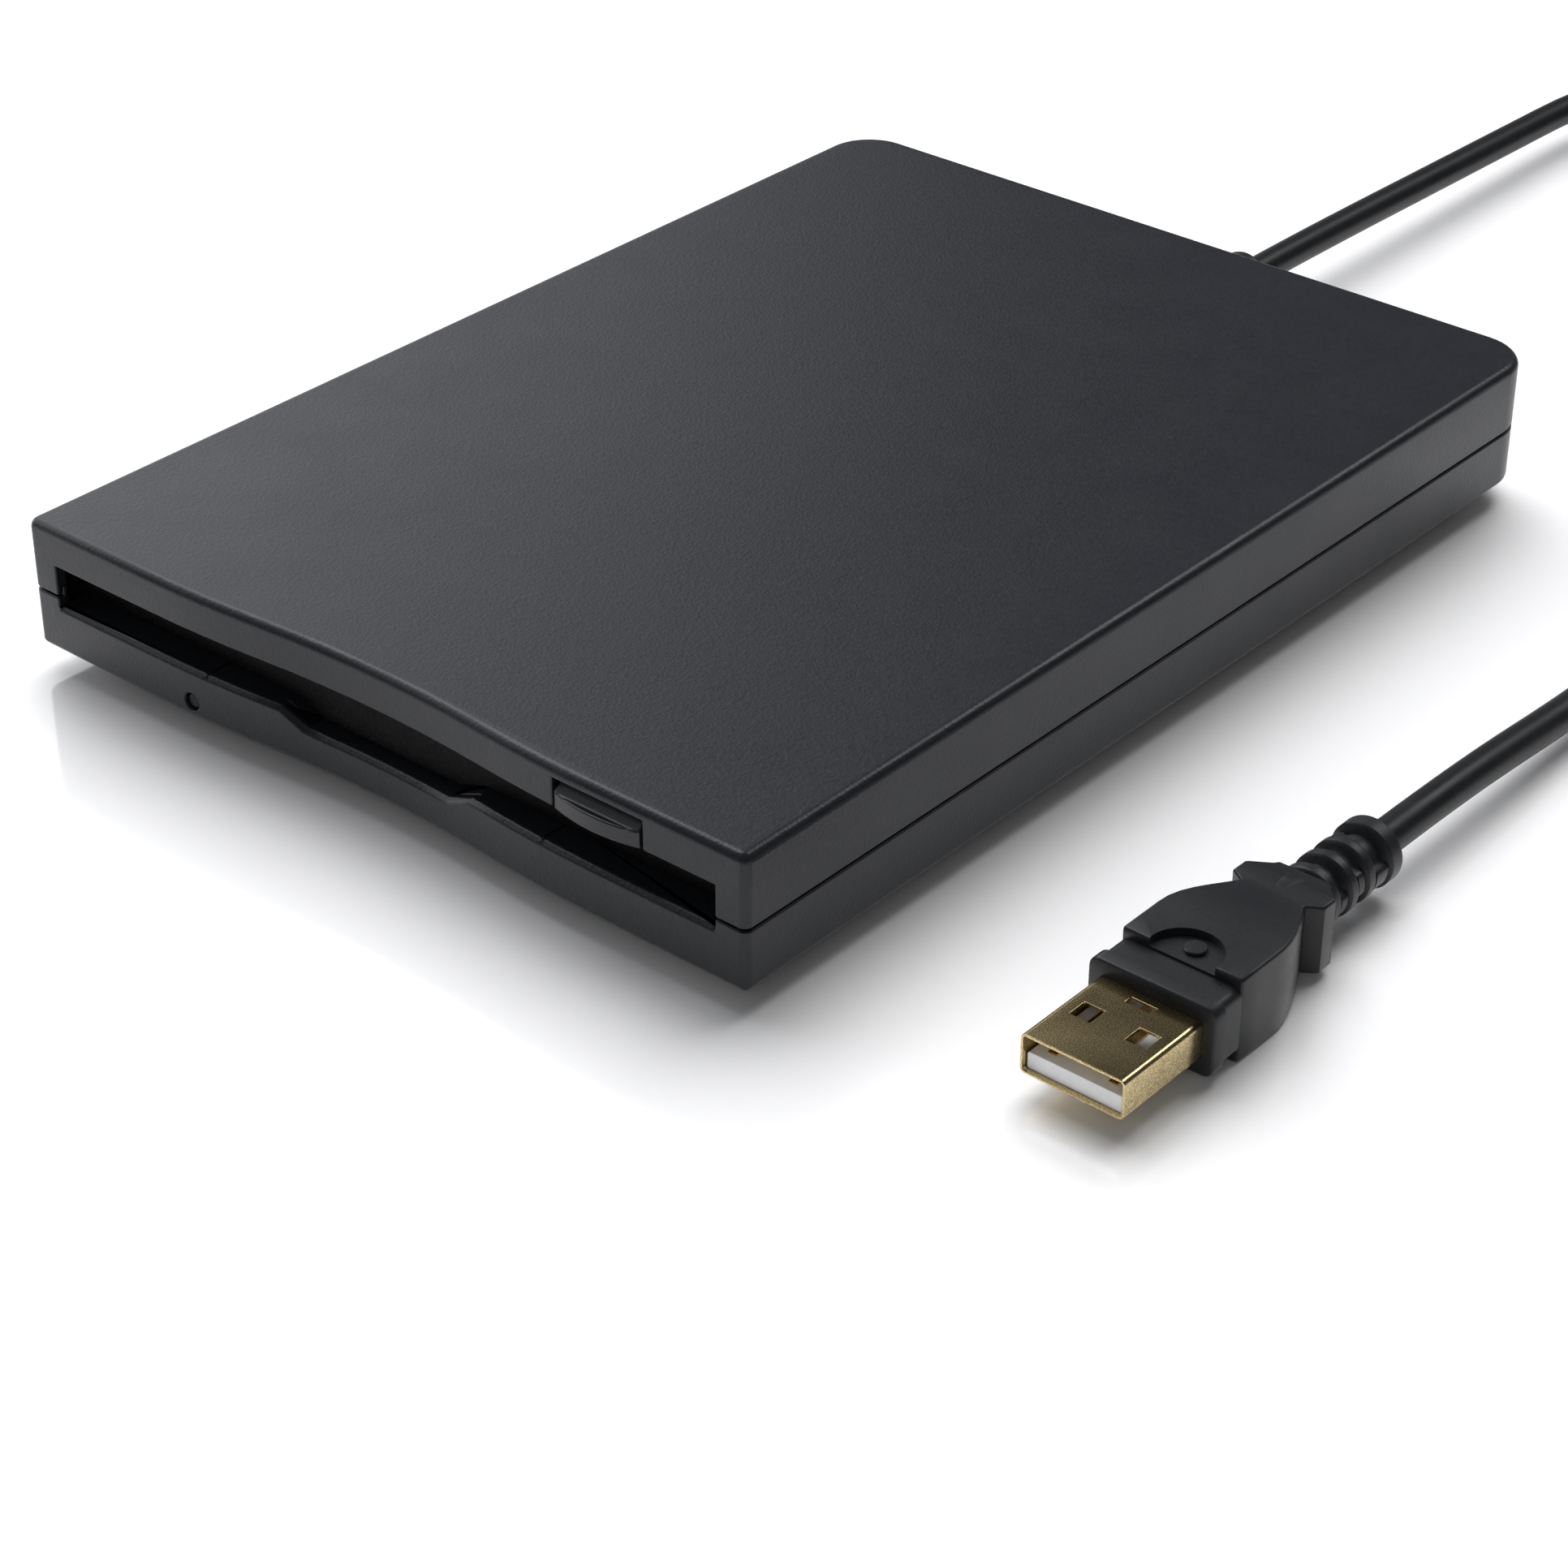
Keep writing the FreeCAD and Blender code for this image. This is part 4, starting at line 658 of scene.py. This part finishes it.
def lip_cutter():
    """A thin wedge along the whole lower lip, to break its edge."""
    wedge = ((-0.2, -0.75), (0.75, 0.2), (-0.2, 0.2))
    corners = [side * x for side in (-1, 1) for x in (LIP_HALF, NOTCH_HALF, NOTCH_HALF + NOTCH_RAMP)]
    rings = []
    for x in sorted({*corners, *(2.0 * i for i in range(-23, 24))}):
        y, z = FRONT + wave_in(x), lip_height(x)
        rings.append([(x * MM, (y + a) * MM, (z + b) * MM) for a, b in wedge])
    return loft("lip", rings)


class DRIVE_OT_case(bpy.types.Operator):
    """Finish the two halves of the case"""
    bl_idname = "drive.case"
    bl_label = "Case"

    def execute(self, context):
        width = context.scene.drive_sizes.edge_round
        dress("top_cover", "case", width)
        lower = moulded_copy("bottom_case")
        for side in (-1, 1):
            combine(lower, sill_fill(side), "UNION")
        combine(lower, lip_cutter())
        merge_faces(lower)
        for side in (-1, 1):
            low = ((side * SEAM_SIDE - SEAM_HALF) * MM, -73 * MM, 8.65 * MM)
            high = ((side * SEAM_SIDE + SEAM_HALF) * MM, -66 * MM, 9.4 * MM)
            combine(lower, box_mesh("seam", low, high))
        round_edges(lower, width)
        wear(lower, "case", "case_plastic", "bottom_case")
        return {"FINISHED"}


class DRIVE_OT_front(bpy.types.Operator):
    """Finish the slot door, the eject button and the lamp's lens"""
    bl_idname = "drive.front"
    bl_label = "Door, button and lamp"

    def execute(self, context):
        dress("slot_door", "door", 0.12 * MM)
        dress("eject_button", "eject_slider", 0.22 * MM, 3)
        dress("led_lens", "case", 0.1 * MM)
        return {"FINISHED"}


class DRIVE_OT_underside(bpy.types.Operator):
    """Set the rubber feet and the case screws"""
    bl_idname = "drive.underside"
    bl_label = "Feet and screws"

    def execute(self, context):
        radius = context.scene.drive_sizes.foot_radius
        hollow = [(0.0008, 0.0003), (0.0026, 0.0003), (0.003, 0)]
        rim = [(radius - 0.0008, 0), (radius - 0.00035, 0.0001), (radius - 0.0001, 0.00035),
               (radius, 0.0008), (radius, 0.003), (radius - 0.0002, 0.003)]
        foot = turned("rubber_feet_ringed", hollow + rim, segments=64)
        shade(foot, 40)
        repeat(foot, "foot_rubber", Start=(-0.043, -0.06, 0), Across=(0.086, 0, 0), Across_count=2,
               Back=(0, 0.116, 0), Back_count=2)
        wear(foot, "case", "foot_rubber", "rubber_feet")
        for name, place, across, tip in (("front_case_screws", (-0.034, -0.054, 0.0026), 0.068, 3.7),
                                         ("rear_case_screws", (-0.042, 0.0655, 0.0026), 0.084, 8.9)):
            profile = in_metres([(0.3, 0), (1.35, 0), (1.7, 0.1), (1.9, 0.35), (1.9, 0.8), (0.88, 0.8),
                                 (0.88, tip), (0.1, tip)])
            screw = turned(name + "_cross", profile, segments=40)
            for wide, deep in ((1.05, 0.19), (0.19, 1.05)):
                low, high = (-wide * MM, -deep * MM, -0.3 * MM), (wide * MM, deep * MM, 0.45 * MM)
                combine(screw, box_mesh("cross", low, high))
            shade(screw, 30)
            repeat(screw, "screw_steel", Start=place, Across=(across, 0, 0), Across_count=2,
                   Back=(0, 0, 0), Back_count=1)
            wear(screw, "case", "screw_steel", name)
        return {"FINISHED"}


def smooth_step(low, high, value):
    """0 below low, 1 above high, and a smooth rise between them."""
    part = min(max((value - low) / (high - low), 0.0), 1.0)
    return part * part * (3 - 2 * part)


def ringed_sleeve(name, centre, rings, lead):
    """A sleeve along Y with rings and open slots between them; all in millimetres from the centre.

    A ring is its start, end and radius. The lead is the smooth root, as pairs of place and radius.
    """
    start, end = lead[0][0], rings[-1][1]
    rows = round((end - start) / SLEEVE_STEP)
    skin = []
    for row in range(rows + 1):
        y = start + (end - start) * row / rows
        smooth = SLEEVE_CORE
        for (y0, r0), (y1, r1) in zip(lead, lead[1:]):
            if y0 <= y <= y1:
                smooth = r0 + (r1 - r0) * (y - y0) / (y1 - y0)
        ring = []
        for i in range(SLEEVE_ROUND):
            turn = 2 * math.pi * i / SLEEVE_ROUND
            reach = smooth
            for index, (low, high, crown) in enumerate(rings):
                edge = min(y - low, high - y)
                rise = crown - SLEEVE_CORE
                if edge > -0.001:
                    reach = max(reach, SLEEVE_CORE + rise * math.sqrt(smooth_step(*RING_FLANK, edge)))
                elif index and rings[index - 1][1] < y < low:
                    side = abs(math.sin(turn + BRIDGE_SHIFT * (index % 2) + BRIDGE_TURN))
                    bridge = 1 - smooth_step(*BRIDGE_SIDES, side)
                    reach = max(reach, SLEEVE_CORE + (rise - BRIDGE_DROP) * bridge)
            ring.append(((centre[0] + reach * math.cos(turn)) * MM, (centre[1] + y) * MM,
                         (centre[2] + reach * math.sin(turn)) * MM))
        skin.append(ring)
    return loft(name, skin)


class DRIVE_OT_strain_relief(bpy.types.Operator):
    """Mould the ringed sleeve where the cord leaves the case"""
    bl_idname = "drive.strain_relief"
    bl_label = "Strain relief"

    def execute(self, context):
        rings = [(2.3, 4.1, 3.55), (5.4, 7.2, 3.5), (8.5, 10.3, 3.5), (11.6, 12.6, 3.5), (13.5, 15.6, 3.75)]
        lead = [(0.02, 4.4), (1.2, 4.15), (2.2, 3.3), (2.4, 2.6)]
        relief = ringed_sleeve("strain_relief_ringed", RELIEF, rings, lead)
        neck = turned("neck", in_metres([(2.7, 0), (2.7, 1.4), (3, 1.5), (3, 3.1)]))
        place = Matrix.Translation([v * MM for v in RELIEF])
        neck.data.transform(place @ Matrix.Rotation(math.radians(90), 4, "X"))
        piece = joined("cable_strain_relief_moulded", [relief, neck])
        shade(piece, 50)
        wear(piece, "case", "mould_vinyl", "cable_strain_relief")
        return {"FINISHED"}


def plug_ring(y, half, high, corner):
    """One rounded rectangle across the plug, in metres; the sizes are in millimetres."""
    ring, steps = [], 5
    for turn, x, z in ((0, half, high), (1, -half, high), (2, -half, -high), (3, half, -high)):
        inner_x = x - math.copysign(corner, x)
        inner_z = z - math.copysign(corner, z)
        for i in range(steps + 1):
            angle = math.pi / 2 * (turn + i / steps)
            ring.append(((PLUG[0] + inner_x + corner * math.cos(angle)) * MM, (PLUG[1] + y) * MM,
                         (PLUG[2] + inner_z + corner * math.sin(angle)) * MM))
    return ring


def over_plug(along, up):
    """A place over the plug's middle line, in metres."""
    return PLUG[0] * MM, (PLUG[1] + along) * MM, (PLUG[2] + up) * MM


def plug_grip():
    """The grip, drawn in to the wings with a sloping back, with its thumb recess, boss and ringed tail."""
    # place along the plug, half width, and how much lower the front edge is
    sides = [
        (17.1, 6.75, 0.3), (17.2, 6.92, 0.1), (17.4, 7, 0), (20, 7, 0), (23, 7, 0), (24.4, 6.93, 0),
        (26, 6.62, 0), (27.6, 6.1, 0), (29.2, 5.42, 0), (30.8, 4.62, 0), (32.2, 3.86, 0), (32.45, 3.86, 0),
        (33.35, 5.25, 0), (33.5, 5.4, 0), (35.4, 5.4, 0), (35.6, 5.28, 0), (37.5, 3.5, 0), (38, 3.2, 0)]
    rows = []
    for y, half, inset in sides:
        high = 4.88 - inset - 0.95 * smooth_step(23, 34, y) - 0.5 * smooth_step(35, 38, y)
        rows.append(plug_ring(y, half, high, 0.38))
    grip = loft("grip", rows)
    combine(grip, turned("recess", in_metres([(3.85, 0), (3.85, 2)]), over_plug(17.6, 4.0), 72))
    profile = in_metres([(1.2, 0), (1.2, 0.4), (1.1, 0.5), (0.9, 0.52)])
    boss = turned("boss", profile, over_plug(19.4, 3.9))
    lead = [(28.6, 0.4), (28.9, 1.3), (29.4, 2.1), (30.2, 2.85), (31.2, 3.4), (32.4, 3.78), (33.8, 3.98),
            (35.5, 4.0), (36.6, 3.85), (37.2, 3.4), (37.6, 2.6)]
    rings = [(38.2, 40.1, 3.55), (41.3, 43.2, 3.6), (44.4, 46.3, 3.6), (48.4, 50.98, 3.75)]
    tail = ringed_sleeve("tail", PLUG, rings, lead)
    piece = joined("plug_overmould_grip", [grip, boss, tail])
    shade(piece, 38)
    wear(piece, "case", "mould_vinyl", "plug_overmould")


def plug_nose():
    """The inner moulding with its flange, bored for the shell."""
    # place along the plug, half width, half height and corner radius
    sides = [
        (12.3, 7.1, 3.7, 1.0), (12.42, 7.32, 3.92, 1.2), (12.6, 7.4, 4, 1.3), (14.05, 7.4, 4, 1.3),
        (14.2, 7.28, 3.88, 1.2), (14.3, 7.0, 3.75, 1.0), (17.2, 7.0, 3.75, 1.0), (17.4, 6.0, 3.0, 0.8),
        (20.4, 6.0, 3.0, 0.8)]
    nose = loft("plug_nose_moulded", [plug_ring(*side) for side in sides])
    combine(nose, loft("bore", [plug_ring(y, 6.02, 2.27, 0.6) for y in (12, 19.6)]))
    shade(nose, 38)
    wear(nose, "case", "mould_vinyl", "plug_nose")


class DRIVE_OT_plug(bpy.types.Operator):
    """Mould the plug round its plated shell, and tie the cord's coil"""
    bl_idname = "drive.plug"
    bl_label = "Plug"

    def execute(self, context):
        plug_grip()
        plug_nose()
        dress("plug_shell", "case", 0.07 * MM)
        dress("plug_insulator", "case", 0.08 * MM)
        dress("plug_contacts", "case", 0.04 * MM, 1)
        dress("coil_tie", "case", 0.15 * MM)
        return {"FINISHED"}


class DRIVE_OT_inner(bpy.types.Operator):
    """Give every solid inside the case its finish"""
    bl_idname = "drive.inner"
    bl_label = "Inner pieces"

    def execute(self, context):
        for name, node in NODES.items():
            node.data.materials.clear()
            node.data.materials.append(finish_for(SLOT_OF[name]))
        return {"FINISHED"}


def softbox(name, power, size, place, gloss):
    """A square soft light turned to the object; it lights the matt tones or only the glossy ones."""
    data = bpy.data.lights.new(name, "AREA")
    data.energy = power
    data.size = size
    light = bpy.data.objects.new(name, data)
    light.location = place
    light.visible_glossy = gloss
    light.visible_diffuse = not gloss
    light.rotation_euler = (Vector() - Vector(place)).to_track_quat("-Z", "Y").to_euler()
    bpy.context.scene.collection.objects.link(light)


def lay_floor(colour):
    """The glossy floor that mirrors the object."""
    corners = [(x * FLOOR_HALF, y * FLOOR_HALF, FLOOR_LOW) for x, y in ((-1, -1), (1, -1), (1, 1), (-1, 1))]
    floor = mesh_object("floor", corners, [(0, 1, 2, 3)])
    material = bpy.data.materials.new("floor_gloss")
    material.use_nodes = True
    shader = material.node_tree.nodes["Principled BSDF"]
    shader.inputs["Base Color"].default_value = (*colour, 1)
    shader.inputs["Roughness"].default_value = FLOOR_ROUGHNESS
    shader.inputs["IOR"].default_value = FLOOR_IOR
    floor.data.materials.append(material)


def surround(scene):
    """Surroundings that glow on the left and show the camera a pale backdrop."""
    world = bpy.data.worlds.new("surroundings")
    scene.world = world
    world.use_nodes = True
    tree = world.node_tree
    background = tree.nodes["Background"]
    ahead = tree.nodes.new("ShaderNodeTexCoord")
    lean = tree.nodes.new("ShaderNodeVectorMath")
    lean.operation = "DOT_PRODUCT"
    lean.inputs[1].default_value = Vector(GLOW_TOWARDS).normalized()
    spread = tree.nodes.new("ShaderNodeMapRange")
    spread.inputs["From Min"].default_value = GLOW_STARTS
    spread.inputs["From Max"].default_value = GLOW_FULL
    spread.inputs["To Min"].default_value = scene.drive_lights.surround
    spread.inputs["To Max"].default_value = scene.drive_lights.left_glow
    seen = tree.nodes.new("ShaderNodeLightPath")
    pale = tree.nodes.new("ShaderNodeMix")
    pale.inputs["B"].default_value = BACKDROP
    tree.links.new(ahead.outputs["Generated"], lean.inputs[0])
    tree.links.new(lean.outputs["Value"], spread.inputs["Value"])
    tree.links.new(seen.outputs["Is Camera Ray"], pale.inputs["Factor"])
    tree.links.new(spread.outputs["Result"], pale.inputs["A"])
    tree.links.new(pale.outputs["Result"], background.inputs["Strength"])
    background.inputs["Color"].default_value = GLOW_TINT


class DRIVE_OT_stage(bpy.types.Operator):
    """Lay the floor and set the soft studio light"""
    bl_idname = "drive.stage"
    bl_label = "Stage"

    def execute(self, context):
        scene = context.scene
        lay_floor(scene.drive_colours.floor)
        for name, power, size, place, gloss in STAGE_LIGHTS:
            softbox(name, getattr(scene.drive_lights, power), size, place, gloss)
        surround(scene)
        scene.view_settings.view_transform = "Standard"
        return {"FINISHED"}


class DRIVE_PT_panel(bpy.types.Panel):
    """The drive's pieces, sizes and colours"""
    bl_idname = "DRIVE_PT_panel"
    bl_label = "Floppy drive"
    bl_space_type = "VIEW_3D"
    bl_region_type = "UI"
    bl_category = "Drive"

    def draw(self, context):
        for operator in OPERATORS:
            self.layout.operator(operator.bl_idname)
        for group in (context.scene.drive_sizes, context.scene.drive_colours, context.scene.drive_lights):
            for name in group.__annotations__:
                self.layout.prop(group, name)


GROUPS = {"drive_sizes": DriveSizes, "drive_colours": DriveColours, "drive_lights": StageLights}
OPERATORS = (
    DRIVE_OT_camera, DRIVE_OT_cord, DRIVE_OT_inner, DRIVE_OT_case, DRIVE_OT_front, DRIVE_OT_underside,
    DRIVE_OT_strain_relief, DRIVE_OT_plug, DRIVE_OT_stage)
CLASSES = (*GROUPS.values(), *OPERATORS, DRIVE_PT_panel)


def register():
    for cls in CLASSES:
        bpy.utils.register_class(cls)
    for name, group in GROUPS.items():
        setattr(bpy.types.Scene, name, PointerProperty(type=group))


def unregister():
    for name in GROUPS:
        delattr(bpy.types.Scene, name)
    for cls in reversed(CLASSES):
        bpy.utils.unregister_class(cls)


def main():
    register()
    for operator in OPERATORS:
        group, name = operator.bl_idname.split(".")
        getattr(getattr(bpy.ops, group), name)()


if __name__ == "__main__":
    main()
